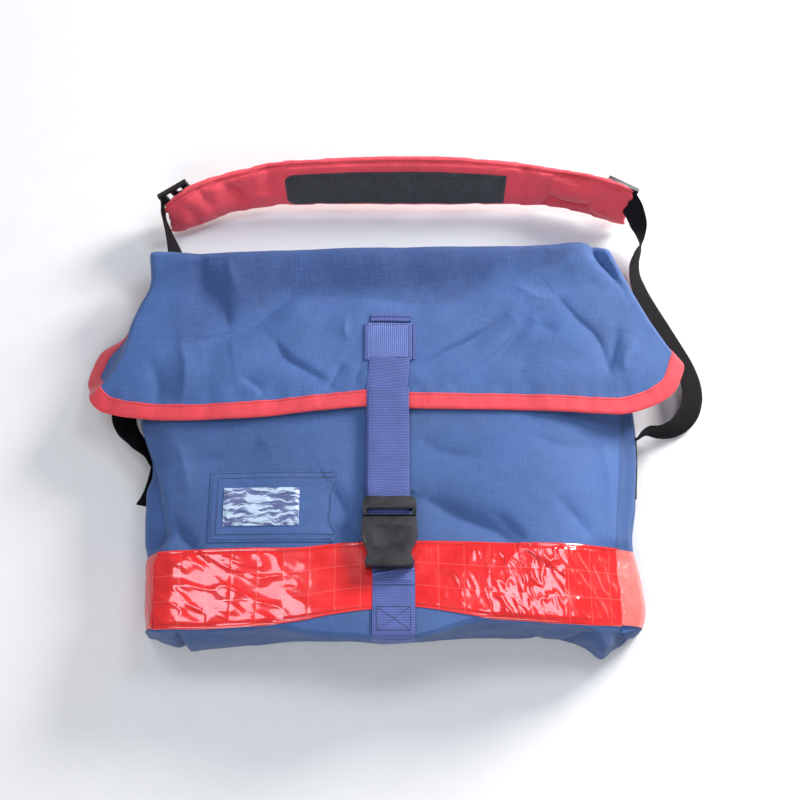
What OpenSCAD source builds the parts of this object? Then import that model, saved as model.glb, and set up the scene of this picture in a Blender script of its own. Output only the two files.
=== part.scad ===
// A carrier's shoulder mail sack, lying closed on its back with its shoulder strap laid out
// past the top. +Z is up, +Y runs from the base to the fold of the flap, +X is to the right.
// The origin is the centre of the back panel's resting face.

/* [Bag] */
// Width of the front and back panels
bag_w = 456; // [400:1:500]
// Length from the base to the fold of the flap
bag_l = 388; // [360:1:420]
// Height of the front panel above the floor at the base
base_h = 74.5; // [66:0.5:90]
// Height of the front panel above the floor at the fold
mouth_h = 45.5; // [42:0.5:60]
// How far the right side draws in towards the fold
right_taper = 24; // [0:1:30]
// Plan radius of the two base corners
corner_r = 30; // [20:1:45]
// Thickness of the proofed cloth, seams allowed for
cloth_t = 1.5; // [1:0.1:2]

/* [Flap] */
// Length of the flap from its fold to its free edge, at the middle
flap_l = 165; // [140:1:180]
// How far the flap's left corner reaches from the middle of the bag
flap_left = 286; // [260:1:300]
// How far the flap's right corner reaches from the middle of the bag
flap_right = 274; // [255:1:290]
// Radius of the flap's two free corners
flap_corner_r = 26; // [15:1:35]
// Width of the binding tape that shows
binding_w = 15.5; // [10:0.5:18]

/* [Closure] */
// Width of the closure strap
strap_w = 38; // [30:1:40]
// Width of the buckle
buckle_w = 49.4; // [46:0.1:52]
// Length of the buckle's receptacle
receptacle_l = 45.5; // [42:0.5:50]
// Length of the buckle's plug outside the receptacle
plug_l = 19.5; // [17:0.5:22]
// Where the mouth of the receptacle lies along the bag
buckle_y = -88; // [-100:1:-80]

/* [Band] */
// Height of the reflective band
band_h = 73; // [60:1:80]
// Top edge of the band at the middle of the bag
band_top_y = -107; // [-115:1:-100]

/* [Pocket] */
// Width of the card pocket
pocket_w = 116; // [100:1:125]
// Height of the card pocket
pocket_h = 69; // [60:1:72]

/* [Shoulder strap] */
// Length of the shoulder pad along its curve
pad_l = 470; // [420:5:490]
// Height of the pad, standing on its edge
pad_h = 68; // [60:1:72]
// Thickness of the pad
pad_t = 14; // [10:1:16]
// Radius of the curve that the pad lies in
pad_r = 859; // [700:1:1000]
// Angle that the pad leans back from upright
pad_lean = 20; // [10:1:25]
// Width of the shoulder webbing
web_w = 25; // [20:1:26]

/* [Hidden] */
$fn = 64;
half_w = bag_w / 2;
foot_y = -bag_l / 2;
fold_y = bag_l / 2;
hinge_y = fold_y - 4;          // axis of the flap's fold
hinge_z = mouth_h + 2.5;
hem_y = hinge_y - 40;          // free edge of the front panel, the sack's mouth
slope = (base_h - mouth_h) / bag_l;
tilt = atan(slope);
crown_full = 10;               // fall of the front panel towards its sides
crown_fold = 4;                // the same at the fold
back_t = 2;                    // back panel and its seam allowance
web_t = 1.4;
tape_t = 0.8;
flap_gap = 2;                  // air between the front panel and the closed flap
strap_lift = 5.2;              // height of the closure strap over the front panel
anchor_y = 75;                 // lower edge of the strap's anchor patch
flap_bow = 12;                 // how far the flap's free edge bows towards its corners
pocket_x = -168;
pocket_y = -107;
pad_centre = [5, 260 - pad_r];
pad_angle = pad_l / pad_r * 180 / PI;
bar_d = 4;

// ---- the bag's surfaces ----

function mix(a, b, t) = a + (b - a) * t;
function steps(a, b, n) = [for (i = [0:n]) mix(a, b, i / n)];
function crown(y) = y < 40 ? crown_full : mix(crown_full, crown_fold, min(1, (y - 40) / (hinge_y - 40)));
function mid_z(y) = mix(base_h, mouth_h, (y - foot_y) / bag_l);
function front_z(x, y) = mid_z(y) - crown(y) * pow(abs(x) / half_w, 4);

// How far a base corner's arc draws the side in at y
function corner_inset(y) = let (d = corner_r - (y - foot_y))
    d <= 0 ? 0 : corner_r - sqrt(corner_r * corner_r - d * d);
function side_x(side, y) = side < 0
    ? -mix(half_w, half_w + 4, (y - foot_y) / bag_l) + corner_inset(y)
    : half_w - max(0, (y - 30) / (hinge_y - 30)) * right_taper - corner_inset(y);

// Plan of the base, from the left side round both corners to the right side
base_path = concat(
    [for (a = [180:15:270]) [-half_w + corner_r + corner_r * cos(a), foot_y + corner_r + corner_r * sin(a)]],
    [for (x = steps(-half_w + corner_r, half_w - corner_r, 8)) [x, foot_y]],
    [for (a = [270:15:360]) [half_w - corner_r + corner_r * cos(a), foot_y + corner_r + corner_r * sin(a)]]);
left_path = [for (y = steps(hinge_y, foot_y + corner_r, 8)) [side_x(-1, y), y]];
right_path = [for (y = steps(foot_y + corner_r, hinge_y, 8)) [side_x(1, y), y]];

// ---- cloth makers ----

// A closed sheet between two grids of points, outer[i][j] and inner[i][j]
module skin(outer, inner) {
    rows = len(outer);
    cols = len(outer[0]);
    points = [for (grid = [outer, inner]) for (row = grid) for (p = row) p];
    function at(side, i, j) = (side * rows + i) * cols + j;
    function quad(a, b, c, d) = [[a, b, c], [a, c, d]];
    last_i = rows - 1;
    last_j = cols - 1;
    faces = [for (quads = concat(
        [for (i = [0:last_i - 1], j = [0:last_j - 1])
            quad(at(0, i, j), at(0, i + 1, j), at(0, i + 1, j + 1), at(0, i, j + 1))],
        [for (i = [0:last_i - 1], j = [0:last_j - 1])
            quad(at(1, i, j), at(1, i, j + 1), at(1, i + 1, j + 1), at(1, i + 1, j))],
        [for (j = [0:last_j - 1])
            quad(at(0, 0, j), at(0, 0, j + 1), at(1, 0, j + 1), at(1, 0, j))],
        [for (j = [0:last_j - 1])
            quad(at(0, last_i, j + 1), at(0, last_i, j), at(1, last_i, j), at(1, last_i, j + 1))],
        [for (i = [0:last_i - 1])
            quad(at(0, i + 1, 0), at(0, i, 0), at(1, i, 0), at(1, i + 1, 0))],
        [for (i = [0:last_i - 1])
            quad(at(0, i, last_j), at(0, i + 1, last_j), at(1, i + 1, last_j), at(1, i, last_j))]))
        for (triangle = quads) triangle];
    polyhedron(points = points, faces = faces, convexity = 6);
}

// A sheet lying over the front panel: plan is a grid of [x, y], its faces are low and high above it
module over_front(plan, low, high) {
    skin([for (row = plan) [for (p = row) [p.x, p.y, front_z(p.x, p.y) + high]]],
        [for (row = plan) [for (p = row) [p.x, p.y, front_z(p.x, p.y) + low]]]);
}

// Unit normal to the left of a plan path at point k
function left_normal(path, k) = let (
    a = path[max(0, k - 1)],
    b = path[min(len(path) - 1, k + 1)],
    t = (b - a) / norm(b - a)) [-t.y, t.x];
function shifted(path, d) = [for (k = [0:len(path) - 1]) path[k] + left_normal(path, k) * d];

// An upright wall along a plan path that runs counter-clockwise round the bag
module wall(path, outside, inside, z_low, top_drop) {
    outer = shifted(path, -outside);
    inner = shifted(path, inside);
    function edge(side, source) = [
        [for (p = side) [p.x, p.y, z_low]],
        [for (k = [0:len(side) - 1]) [side[k].x, side[k].y, front_z(source[k].x, source[k].y) - top_drop]]];
    skin(edge(outer, path), edge(inner, path));
}

// A band of cloth swept flat along a route: width w stands along the up vector of each point
module strip(route, ups, w, t) {
    last = len(route) - 1;
    function along(k) = let (d = route[min(last, k + 1)] - route[max(0, k - 1)]) d / norm(d);
    function across(k) = let (u = ups[k] - along(k) * (ups[k] * along(k))) u / norm(u);
    function face(k) = cross(across(k), along(k));
    function side(s) = [for (e = [-1, 1])
        [for (k = [0:last]) route[k] + across(k) * e * w / 2 + face(k) * s * t / 2]];
    skin(side(-1), side(1));
}

// ---- the bag ----

module back_panel() color("navy") {
    linear_extrude(back_t) polygon(concat(base_path, right_path, [[side_x(1, hinge_y), fold_y]],
        [[side_x(-1, hinge_y), fold_y]], left_path));
}

module front_panel() color("royalblue") {
    rows = concat(steps(foot_y, foot_y + corner_r, 5), steps(foot_y + 50, hem_y, 7));
    over_front([for (y = rows) steps([side_x(-1, y), y], [side_x(1, y), y], 16)], -cloth_t, 0);
}

module base_panel() color("navy") wall(base_path, 0, cloth_t, back_t - 0.5, 0.6);
module left_gusset() color("navy") wall(left_path, 0, cloth_t, back_t - 0.5, 0.6);
module right_gusset() color("navy") wall(right_path, 0, cloth_t, back_t - 0.5, 0.6);

module top_panel() color("navy") {
    path = [for (x = steps(side_x(1, hinge_y), side_x(-1, hinge_y), 10)) [x, fold_y]];
    wall(path, 0, cloth_t, back_t - 0.5, 3.5);
}

module mouth_hem() color("midnightblue") {
    over_front([for (y = [hem_y - 16, hem_y - 8, hem_y])
        steps([side_x(-1, y) + 3, y], [side_x(1, y) - 3, y], 16)], -cloth_t - 0.6, 0.4);
}

// The band's edges fall away from the middle towards both sides
function band_edge(x, y_mid) = y_mid - 8 * pow(abs(x) / half_w, 1.5);
module reflective_band() color("red") {
    over_front([for (k = steps(0, 1, 3)) [for (x = steps(-half_w + 4, half_w - 4, 20))
        [x, band_edge(x, band_top_y - band_h * (1 - k))]]], -0.4, 0.5);
}
wrap_top_y = band_top_y - 4;
wrap_low_y = wrap_top_y - band_h + 2;
module band_left_wrap() color("red")
    wall([for (y = steps(wrap_top_y, wrap_low_y, 6)) [side_x(-1, y), y]], 0.6, 0.2, 9, 4);
module band_right_wrap() color("red")
    wall([for (y = steps(wrap_low_y, wrap_top_y, 6)) [side_x(1, y), y]], 0.6, 0.2, 9, 4);

function grid(x0, x1, nx, y0, y1, ny) = [for (y = steps(y0, y1, ny)) [for (x = steps(x0, x1, nx)) [x, y]]];
module id_pocket() color("navy") {
    over_front(grid(pocket_x, pocket_x + pocket_w, 5, pocket_y, pocket_y + pocket_h, 3), -0.4, tape_t);
}
module id_window() color([0.8, 0.9, 1, 0.5]) {
    over_front(grid(pocket_x + 13.5, pocket_x + 83, 4, pocket_y + 16, pocket_y + 52, 2), 0.4, 1.2);
}

// A side profile of [y, z] points, extruded across x
module across_x(profile, x_mid, w) {
    translate([x_mid - w / 2, 0, 0]) rotate([90, 0, 90]) linear_extrude(w) polygon(profile);
}
function strap_profile(ys, low, t) = concat(
    [for (y = ys) [y, mid_z(y) + low]],
    [for (k = [len(ys) - 1:-1:0]) [ys[k], mid_z(ys[k]) + low + t]]);

module lower_strap() color("slateblue")
    across_x(strap_profile(steps(foot_y + 4, buckle_y - receptacle_l - 1.5, 3), -0.2, web_t + 0.4), 1, strap_w);

// Webbing patches that the shoulder strap is sewn to, half way up each gusset
module strap_anchor(side) {
    y_near = -55;
    y_far = 8;
    path = side < 0 ? [for (y = steps(y_far, y_near, 4)) [side_x(-1, y), y]]
        : [for (y = steps(y_near, y_far, 4)) [side_x(1, y), y]];
    outer = shifted(path, -web_t);
    inner = shifted(path, 0.2);
    function edge(line) = [for (z = [12, 37]) [for (p = line) [p.x, p.y, z]]];
    skin(edge(outer), edge(inner));
}
module left_strap_anchor() color("black") strap_anchor(-1);
module right_strap_anchor() color("black") strap_anchor(1);

// ---- the flap ----

flap_edge_y = hinge_y - flap_l;
function flap_low_y(x) = flap_edge_y - flap_bow * pow(x / half_w, 2);
function flap_side(side, y) = side < 0 ? mix(flap_left, half_w + 6, (y - flap_edge_y) / flap_l)
    : mix(flap_right, half_w - right_taper, (y - flap_edge_y) / flap_l);

// Outline of the free edges, from the fold down the left side, along and up the right side
function corner_arc(side, a0, a1) = let (
    cx = side * (flap_side(side, flap_edge_y) - flap_corner_r - 3),
    cy = flap_edge_y + flap_corner_r - 8)
    [for (a = steps(a0, a1, 6)) [cx + flap_corner_r * cos(a), cy + flap_corner_r * sin(a)]];
flap_outline = concat(
    [for (y = steps(hinge_y, flap_edge_y + 30, 5)) [-flap_side(-1, y), y]],
    corner_arc(-1, 180, 270),
    [for (x = steps(-half_w + 10, half_w - 20, 14)) [x, flap_low_y(x)]],
    corner_arc(1, 270, 360),
    [for (y = steps(flap_edge_y + 30, hinge_y, 5)) [flap_side(1, y), y]]);

// The flap's cloth is a fan of rows between the outline's lower half and the fold
module flap_panel() color("royalblue") {
    n = len(flap_outline);
    inset = shifted(flap_outline, binding_w / 2);
    fold = [for (k = [0:n - 1]) [mix(inset[0].x, inset[n - 1].x, k / (n - 1)), hinge_y]];
    over_front([for (r = steps(0, 1, 6)) [for (k = [1:n - 2]) mix(inset[k], fold[k], r)]],
        flap_gap, flap_gap + cloth_t);
}

module flap_binding() color("crimson") {
    over_front([flap_outline, shifted(flap_outline, binding_w)], flap_gap - 0.6, flap_gap + cloth_t + 0.6);
}

patch_top = flap_gap + cloth_t - 0.3;
module strap_anchor_patch() color("cornflowerblue")
    over_front(grid(-26, 21, 2, anchor_y - 4, anchor_y + 36, 2), patch_top, patch_top + web_t);
module strap_fold_bar() color("slateblue")
    over_front(grid(-20, 16, 2, anchor_y + 36.5, anchor_y + 44, 1), patch_top, patch_top + 2.4);

// ---- the closure ----

strap_end_y = buckle_y + plug_l + 2.2;
module closure_strap() color("slateblue")
    across_x(strap_profile(steps(anchor_y - 5, strap_end_y, 8), strap_lift, web_t), -3, strap_w);
module closure_strap_tail() color("slateblue")
    across_x(strap_profile(steps(anchor_y - 20, strap_end_y, 8), strap_lift + web_t + 0.1, web_t), -1, strap_w);

// Places children on the front panel with z = 0 on it, y = 0 at the receptacle's mouth
module at_buckle() translate([-3, buckle_y, mid_z(buckle_y)]) rotate([-tilt, 0, 0]) children();

shell_low = 1.2;
shell_high = 13;
cavity_low = 3.6;
cavity_high = 10.6;
prong_x = 14;
module receptacle_plan() {
    polygon(concat(
        [[-buckle_w / 2 + 1.5, 0], [-buckle_w / 2, -12], [-buckle_w / 2 + 0.5, -24],
            [-buckle_w / 2 + 3.5, -31], [-buckle_w / 2 + 1, -39], [-buckle_w / 2, -receptacle_l]],
        [[buckle_w / 2, -receptacle_l], [buckle_w / 2 - 1, -39], [buckle_w / 2 - 3.5, -31],
            [buckle_w / 2 - 0.5, -24], [buckle_w / 2, -12], [buckle_w / 2 - 1.5, 0]]));
}
module buckle_receptacle() color("dimgray") at_buckle() difference() {
    translate([0, 0, shell_low]) linear_extrude(shell_high - shell_low) receptacle_plan();
    translate([-19, -29, cavity_low]) cube([38, 30, cavity_high - cavity_low]);
    for (side = [-1, 1]) translate([side * 22 - 5, -27, cavity_low]) cube([10, 20, cavity_high - cavity_low]);
    translate([-20, -receptacle_l + bar_d + 0.5, 0]) cube([40, 5, 20]);
}

module plug_frame() color("dimgray") at_buckle() difference() {
    translate([-buckle_w / 2, 1.5, 2.6]) cube([buckle_w, plug_l - 1.5, 9]);
    for (y = [5.5, 12.5]) translate([-20, y, 0]) cube([40, 3.5, 20]);
}

module prong(side) color("dimgray") at_buckle() translate([0, 0, cavity_low + 0.5]) mirror([side < 0 ? 1 : 0, 0, 0])
    linear_extrude(cavity_high - cavity_low - 1) polygon([[prong_x - 2, 1.1], [prong_x + 2, 1.1],
        [prong_x + 2.5, -8.5], [prong_x + 8.5, -9.5], [prong_x + 9.5, -16], [prong_x + 8, -24], [prong_x + 4, -26],
        [prong_x, -26]]);
module plug_prong_left() prong(-1);
module plug_prong_right() prong(1);

// ---- the shoulder strap ----

// Places children in the pad's own frame at angle a along its curve: x along the pad,
// y out from its outer face, z up its height from the lower edge
module at_pad(a) translate([pad_centre.x, pad_centre.y, 2]) rotate([0, 0, -a]) translate([0, pad_r, 0])
    rotate([-pad_lean, 0, 0]) children();

// Cross-section of the pad as [distance from the pad's centre of curvature, height]
module pad_section(d) {
    translate([pad_r, 2 + pad_t * sin(pad_lean)]) rotate([0, 0, -pad_lean])
        translate([d, d]) square([pad_t - 2 * d, pad_h - 2 * d]);
}
module pad_arc(d, angle) translate([pad_centre.x, pad_centre.y, 0])
    rotate([0, 0, 90 - angle / 2]) rotate_extrude(angle = angle, $fn = 96) pad_section(d);
module pad_cover() color("firebrick") difference() {
    pad_arc(0, pad_angle);
    pad_arc(1.2, pad_angle - 0.2);
}
module pad_foam() color("lightyellow") pad_arc(1.25, pad_angle - 0.22);
module pad_grip_patch() color("darkslategray") translate([pad_centre.x, pad_centre.y, 0])
    rotate([0, 0, 90 - 6.8]) rotate_extrude(angle = 13.6, $fn = 96)
        translate([pad_r, 2 + pad_t * sin(pad_lean)]) rotate([0, 0, -pad_lean])
            translate([-1.1, 5]) square([1.1, 40]);

lock_w = 30;
lock_l = 33;
lock_t = 5;
loop_angle = pad_angle / 2 - 1.4;
lock_low = pad_h - 38;
module pad_loop(side) color("black") at_pad(side * loop_angle)
    translate([side > 0 ? -22 : -6, pad_t + 0.3, lock_low + 2]) cube([28, web_t, web_w]);
module pad_loop_left() pad_loop(-1);
module pad_loop_right() pad_loop(1);

// A three-bar slide: a plate with two slots for the webbing
module ladder_lock(side) color("black") at_pad(side * loop_angle) translate([0, pad_t + 2.2, lock_low])
    difference() {
        translate([-lock_l / 2, 0, 0]) cube([lock_l, lock_t, lock_w]);
        for (x = [-9, 3]) translate([x, -5, 2.5]) cube([6, 15, lock_w - 5]);
    }
module ladder_lock_left() ladder_lock(-1);
module ladder_lock_right() ladder_lock(1);

// Routes of the webbing's middle line, from the pad's ends to the gussets, hand set
left_route = [[-241, 263, 38], [-243, 252, 35], [-243, 238, 28], [-242, 222, 20], [-241, 206, 15], [-241, 186, 14],
    [-243, 160, 13.5], [-247, 130, 13.5], [-252, 100, 13.5], [-258, 70, 13.5], [-264, 45, 13.5],
    [-266, 28, 14], [-262, 14, 15], [-252, 4, 17], [-242, -1, 19], [-235, -8, 21]];
right_route = [[251, 263, 38], [253, 252, 36], [252, 238, 29], [248, 222, 23], [245, 206, 18], [244, 188, 15],
    [246, 168, 14], [254, 145, 13.5], [264, 122, 13.5], [276, 98, 13.5], [287, 76, 13.5],
    [293, 60, 13.5], [291, 44, 14], [281, 30, 15], [266, 20, 17], [252, 15, 19], [237, 6, 22]];
tail_route = [[-234, -20, 18], [-236, -32, 16], [-240, -44, 15], [-243, -54, 14.5]];
function upright(route) = [for (p = route) [0, 0.05, 1]];
module shoulder_webbing_left() color("black") strip(left_route, upright(left_route), web_w, web_t);
module shoulder_webbing_right() color("black") strip(right_route, upright(right_route), web_w, web_t);
module webbing_tail_left() color("black") strip(tail_route, upright(tail_route), web_w, web_t);

back_panel();
front_panel();
base_panel();
left_gusset();
right_gusset();
top_panel();
mouth_hem();
reflective_band();
band_left_wrap();
band_right_wrap();
id_pocket();
id_window();
lower_strap();
left_strap_anchor();
right_strap_anchor();
flap_panel();
flap_binding();
strap_anchor_patch();
strap_fold_bar();
closure_strap();
closure_strap_tail();
plug_frame();
plug_prong_left();
plug_prong_right();
buckle_receptacle();
pad_cover();
pad_foam();
pad_grip_patch();
pad_loop_left();
pad_loop_right();
ladder_lock_left();
ladder_lock_right();
shoulder_webbing_left();
shoulder_webbing_right();
webbing_tail_left();
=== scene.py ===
import math

import bmesh
import bpy
import numpy as np
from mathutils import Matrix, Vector
from mathutils.bvhtree import BVHTree


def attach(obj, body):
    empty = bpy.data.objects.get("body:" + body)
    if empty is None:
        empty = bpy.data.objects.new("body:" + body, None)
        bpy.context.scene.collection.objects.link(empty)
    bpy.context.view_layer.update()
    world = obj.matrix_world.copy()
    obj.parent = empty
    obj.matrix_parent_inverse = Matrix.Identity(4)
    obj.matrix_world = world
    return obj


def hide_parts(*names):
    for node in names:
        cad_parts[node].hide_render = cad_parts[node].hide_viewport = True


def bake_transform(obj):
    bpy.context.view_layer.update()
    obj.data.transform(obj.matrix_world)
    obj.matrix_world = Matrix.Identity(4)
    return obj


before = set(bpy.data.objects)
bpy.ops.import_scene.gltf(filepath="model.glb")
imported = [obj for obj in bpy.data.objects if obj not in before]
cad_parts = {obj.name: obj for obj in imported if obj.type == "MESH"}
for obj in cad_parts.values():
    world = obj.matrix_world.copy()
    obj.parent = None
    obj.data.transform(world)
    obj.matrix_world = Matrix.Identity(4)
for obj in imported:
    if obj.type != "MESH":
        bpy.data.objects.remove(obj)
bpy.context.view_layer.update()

# A carrier's shoulder mail sack. Lengths are in millimetres, as in the part's own source,
# until a mesh is made; the frame itself is in metres.
MM = 0.001
TAU = 2 * math.pi

# ---- sizes, as part.scad has them unless a comment says otherwise ----

# The bag: half its width, its foot and its fold, the fold's axis, and its height at both ends
HALF_W = 228
FOOT_Y = -194
FOLD_Y = 194
HINGE_Y = 190
BASE_H = 74.5
MOUTH_H = 45.5
SLOPE = (BASE_H - MOUTH_H) / (FOLD_Y - FOOT_Y)
HEM_Y = HINGE_Y - 40
# The visible cloth is thinner than the CAD's
CLOTH_T = 1.2
WEB_W = 25
WEB_T = 1.4
STRAP_W = 38
# The mouth of the buckle's receptacle, in plan
BUCKLE = (-3, -88)
# Visible only: the side of the reflective band's welded cells, and how many rows of them
CELL = 23.2
BAND_ROWS = 3
# The pad's curve is an arc about PAD_CENTRE; its length of 470 is turned into an angle
PAD_CENTRE = (5, -599)
PAD_R = 859
PAD_LEAN = math.radians(20)
PAD_T = 14
PAD_H = 68
PAD_ANGLE = 470 / PAD_R
# Points to turn outer faces away from
UNDER_ALL = (0, 0, -5000)
INSIDE_BAG = (0, 0, 30)

# ---- small maths ----


def mix(a, b, t):
    return a + (b - a) * t


def ease(t):
    """Smooth step from 0 to 1."""
    t = np.clip(t, 0, 1)
    return t * t * (3 - 2 * t)


def ramp(value, low, high):
    return ease((value - low) / (high - low))


def bump(value, centre, width):
    return np.exp(-((value - centre) / width) ** 2)


def unit(vectors):
    """The same directions, one long."""
    return vectors / np.linalg.norm(vectors, axis=-1, keepdims=True)


def run_of(path):
    """How far along a line of points each of them is."""
    return np.concatenate([[0], np.cumsum(np.linalg.norm(np.diff(path, axis=0), axis=1))])


def from_rim(x, y, rim):
    """How far inside a rectangle (low x, high x, low y, high y) a point is."""
    low_x, high_x, low_y, high_y = rim
    return np.minimum(np.minimum(x - low_x, high_x - x), np.minimum(y - low_y, high_y - y))


def along(points, t):
    """Smooth curve through (at, value) points, sampled at t."""
    at = np.array([p[0] for p in points], float)
    value = np.array([p[1] for p in points], float)
    slope = np.gradient(value, at)
    t = np.clip(t, at[0], at[-1])
    k = np.clip(np.searchsorted(at, t) - 1, 0, len(at) - 2)
    h = at[k + 1] - at[k]
    s = (t - at[k]) / h
    first = (2 * s**3 - 3 * s**2 + 1) * value[k] + (s**3 - 2 * s**2 + s) * h * slope[k]
    return first + (3 * s**2 - 2 * s**3) * value[k + 1] + (s**3 - s**2) * h * slope[k + 1]


SPLINE_STEPS = 24


def spline(points, count):
    """count points evenly spread along a Catmull-Rom curve through the given ones."""
    p = np.array(points, float)
    ghost = np.vstack([2 * p[0] - p[1], p, 2 * p[-1] - p[-2]])
    out = []
    for k in range(len(p) - 1):
        a, b, c, d = ghost[k:k + 4]
        s = np.linspace(0, 1, SPLINE_STEPS, endpoint=False)[:, None]
        out.append(0.5 * (2 * b + (c - a) * s + (2 * a - 5 * b + 4 * c - d) * s**2
                          + (3 * b - a - 3 * c + d) * s**3))
    out = np.vstack(out + [p[-1:]])
    length = run_of(out)
    want = np.linspace(0, length[-1], count)
    return np.stack([np.interp(want, length, out[:, i]) for i in range(p.shape[1])], 1)


NOISE_SIZE = 64


def noise(x, y, seed):
    """Gradient noise with one feature a unit, about -1 to 1; it repeats after NOISE_SIZE."""
    angle = np.random.RandomState(seed).rand(NOISE_SIZE, NOISE_SIZE) * TAU
    xi = np.floor(x).astype(int)
    yi = np.floor(y).astype(int)
    fx = x - xi
    fy = y - yi

    def corner(dx, dy):
        a = angle[(xi + dx) % NOISE_SIZE, (yi + dy) % NOISE_SIZE]
        return np.cos(a) * (fx - dx) + np.sin(a) * (fy - dy)

    u = fx**3 * (fx * (fx * 6 - 15) + 10)
    v = fy**3 * (fy * (fy * 6 - 15) + 10)
    return 1.4 * mix(mix(corner(0, 0), corner(1, 0), u), mix(corner(0, 1), corner(1, 1), u), v)


def cloth_noise(x, y, seed, size, stretch=1.0, turn=0.0):
    """Two octaves of noise, size across, longer by stretch along a direction turned by turn."""
    c, s = math.cos(turn), math.sin(turn)
    a = (x * c + y * s) / (size * stretch)
    b = (y * c - x * s) / size
    return noise(a, b, seed) + 0.4 * noise(2.1 * a + 7, 2.1 * b + 3, seed + 1)


FOLD_GAIN = 1.7


def fold(x, y, route, depth, left, right, taper=0.5, power=1.15):
    """A fold line along a route: it stands up or sinks and reaches left and right of its direction."""
    points = spline(route, 5 * len(route))
    best = np.full(np.shape(x), 1e9)
    side = np.zeros(np.shape(x))
    share = np.zeros(np.shape(x))
    last = len(points) - 1
    for k in range(last):
        ax, ay = points[k]
        dx, dy = points[k + 1] - points[k]
        s = np.clip(((x - ax) * dx + (y - ay) * dy) / (dx * dx + dy * dy), 0, 1)
        qx = x - ax - s * dx
        qy = y - ay - s * dy
        far = qx * qx + qy * qy
        closer = far < best
        best = np.where(closer, far, best)
        side = np.where(closer, dx * qy - dy * qx, side)
        share = np.where(closer, (k + s) / last, share)
    reach = np.where(side > 0, left, right)
    fade = np.clip(np.sin(math.pi * np.clip(share, 0.02, 0.98)), 0, 1) ** taper
    return FOLD_GAIN * depth * fade * np.exp(-(np.sqrt(best) / reach) ** power)


def folded(z, x, y, folds):
    """z with a list of folds added in turn, each as fold takes them from its route on."""
    for row in folds:
        z = z + fold(x, y, *row)
    return z


class Heights:
    """A height function kept on a fine grid and read back smoothly."""

    def __init__(self, height, x_range, y_range, step):
        self.x0, self.y0, self.step = x_range[0], y_range[0], step
        xs = np.arange(x_range[0], x_range[1] + step, step)
        ys = np.arange(y_range[0], y_range[1] + step, step)
        grid_x, grid_y = np.meshgrid(xs, ys)
        self.z = height(grid_x, grid_y)

    def __call__(self, x, y):
        rows, cols = self.z.shape
        u = np.clip((np.asarray(x, float) - self.x0) / self.step, 1, cols - 3.001)
        v = np.clip((np.asarray(y, float) - self.y0) / self.step, 1, rows - 3.001)
        i, j = u.astype(int), v.astype(int)
        s, t = u - i, v - j

        def weights(f):
            return [-0.5 * f**3 + f**2 - 0.5 * f, 1.5 * f**3 - 2.5 * f**2 + 1,
                    -1.5 * f**3 + 2 * f**2 + 0.5 * f, 0.5 * f**3 - 0.5 * f**2]

        wx, wy = weights(s), weights(t)
        total = 0
        for b in range(4):
            for a in range(4):
                total = total + wx[a] * wy[b] * self.z[j + b - 1, i + a - 1]
        return total


# ---- mesh makers ----


def new_object(name, data):
    """An object of the scene, around a mesh, a light or a camera."""
    obj = bpy.data.objects.new(name, data)
    bpy.context.scene.collection.objects.link(obj)
    return obj


def read_points(mesh, kind="co"):
    """A mesh's points, or its normals, one a row."""
    points = np.zeros(len(mesh.vertices) * 3)
    mesh.vertices.foreach_get(kind, points)
    return points.reshape(-1, 3)


def write_points(mesh, points):
    mesh.vertices.foreach_set("co", np.asarray(points, np.float32).ravel())
    mesh.update()


def evaluated(obj):
    """An object's mesh as its modifiers leave it."""
    return bpy.data.meshes.new_from_object(obj.evaluated_get(bpy.context.evaluated_depsgraph_get()))


def dress(mesh, material):
    """One material all over, shaded smooth."""
    mesh.materials.clear()
    mesh.materials.append(material)
    mesh.polygons.foreach_set("use_smooth", [True] * len(mesh.polygons))


def add_mesh(name, points, faces, uv, material, sharp=40):
    """A mesh object from points in millimetres, quads and one UV a point."""
    mesh = bpy.data.meshes.new(name)
    mesh.from_pydata((np.asarray(points) * MM).tolist(), [], [list(f) for f in faces])
    layer = mesh.uv_layers.new(name="flat")
    corner = np.zeros(len(mesh.loops), int)
    mesh.loops.foreach_get("vertex_index", corner)
    layer.data.foreach_set("uv", (np.asarray(uv)[corner] * MM).astype(np.float32).ravel())
    mesh.update()
    mesh.validate()
    obj = new_object(name, mesh)
    face_outward(obj)
    dress(mesh, material)
    mesh.set_sharp_from_angle(angle=math.radians(sharp))
    return obj


def face_outward(obj):
    """Turns all of a closed mesh's faces outward."""
    bm = bmesh.new()
    bm.from_mesh(obj.data)
    bmesh.ops.recalc_face_normals(bm, faces=bm.faces)
    bm.to_mesh(obj.data)
    bm.free()


def grid_faces(rows, cols, start=0, wrap=False):
    """Quads of a rows by cols grid of points; wrap joins the last column to the first."""
    r, c = np.meshgrid(np.arange(rows - 1), np.arange(cols if wrap else cols - 1), indexing="ij")
    a = start + r * cols + c
    b = start + r * cols + (c + 1) % cols
    return np.stack([a, b, b + cols, a + cols], -1).reshape(-1, 4)


def normals_of(grid):
    """Unit normals of a grid of points."""
    du = np.gradient(grid, axis=1)
    dv = np.gradient(grid, axis=0)
    n = np.cross(du, dv)
    return n / np.maximum(np.linalg.norm(n, axis=-1, keepdims=True), 1e-9)


def outward(grid, centre):
    """Unit normals of a grid of points, turned away from centre."""
    n = normals_of(grid)
    return n if ((grid - np.array(centre, float)) * n).sum(-1).mean() > 0 else -n


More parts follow.
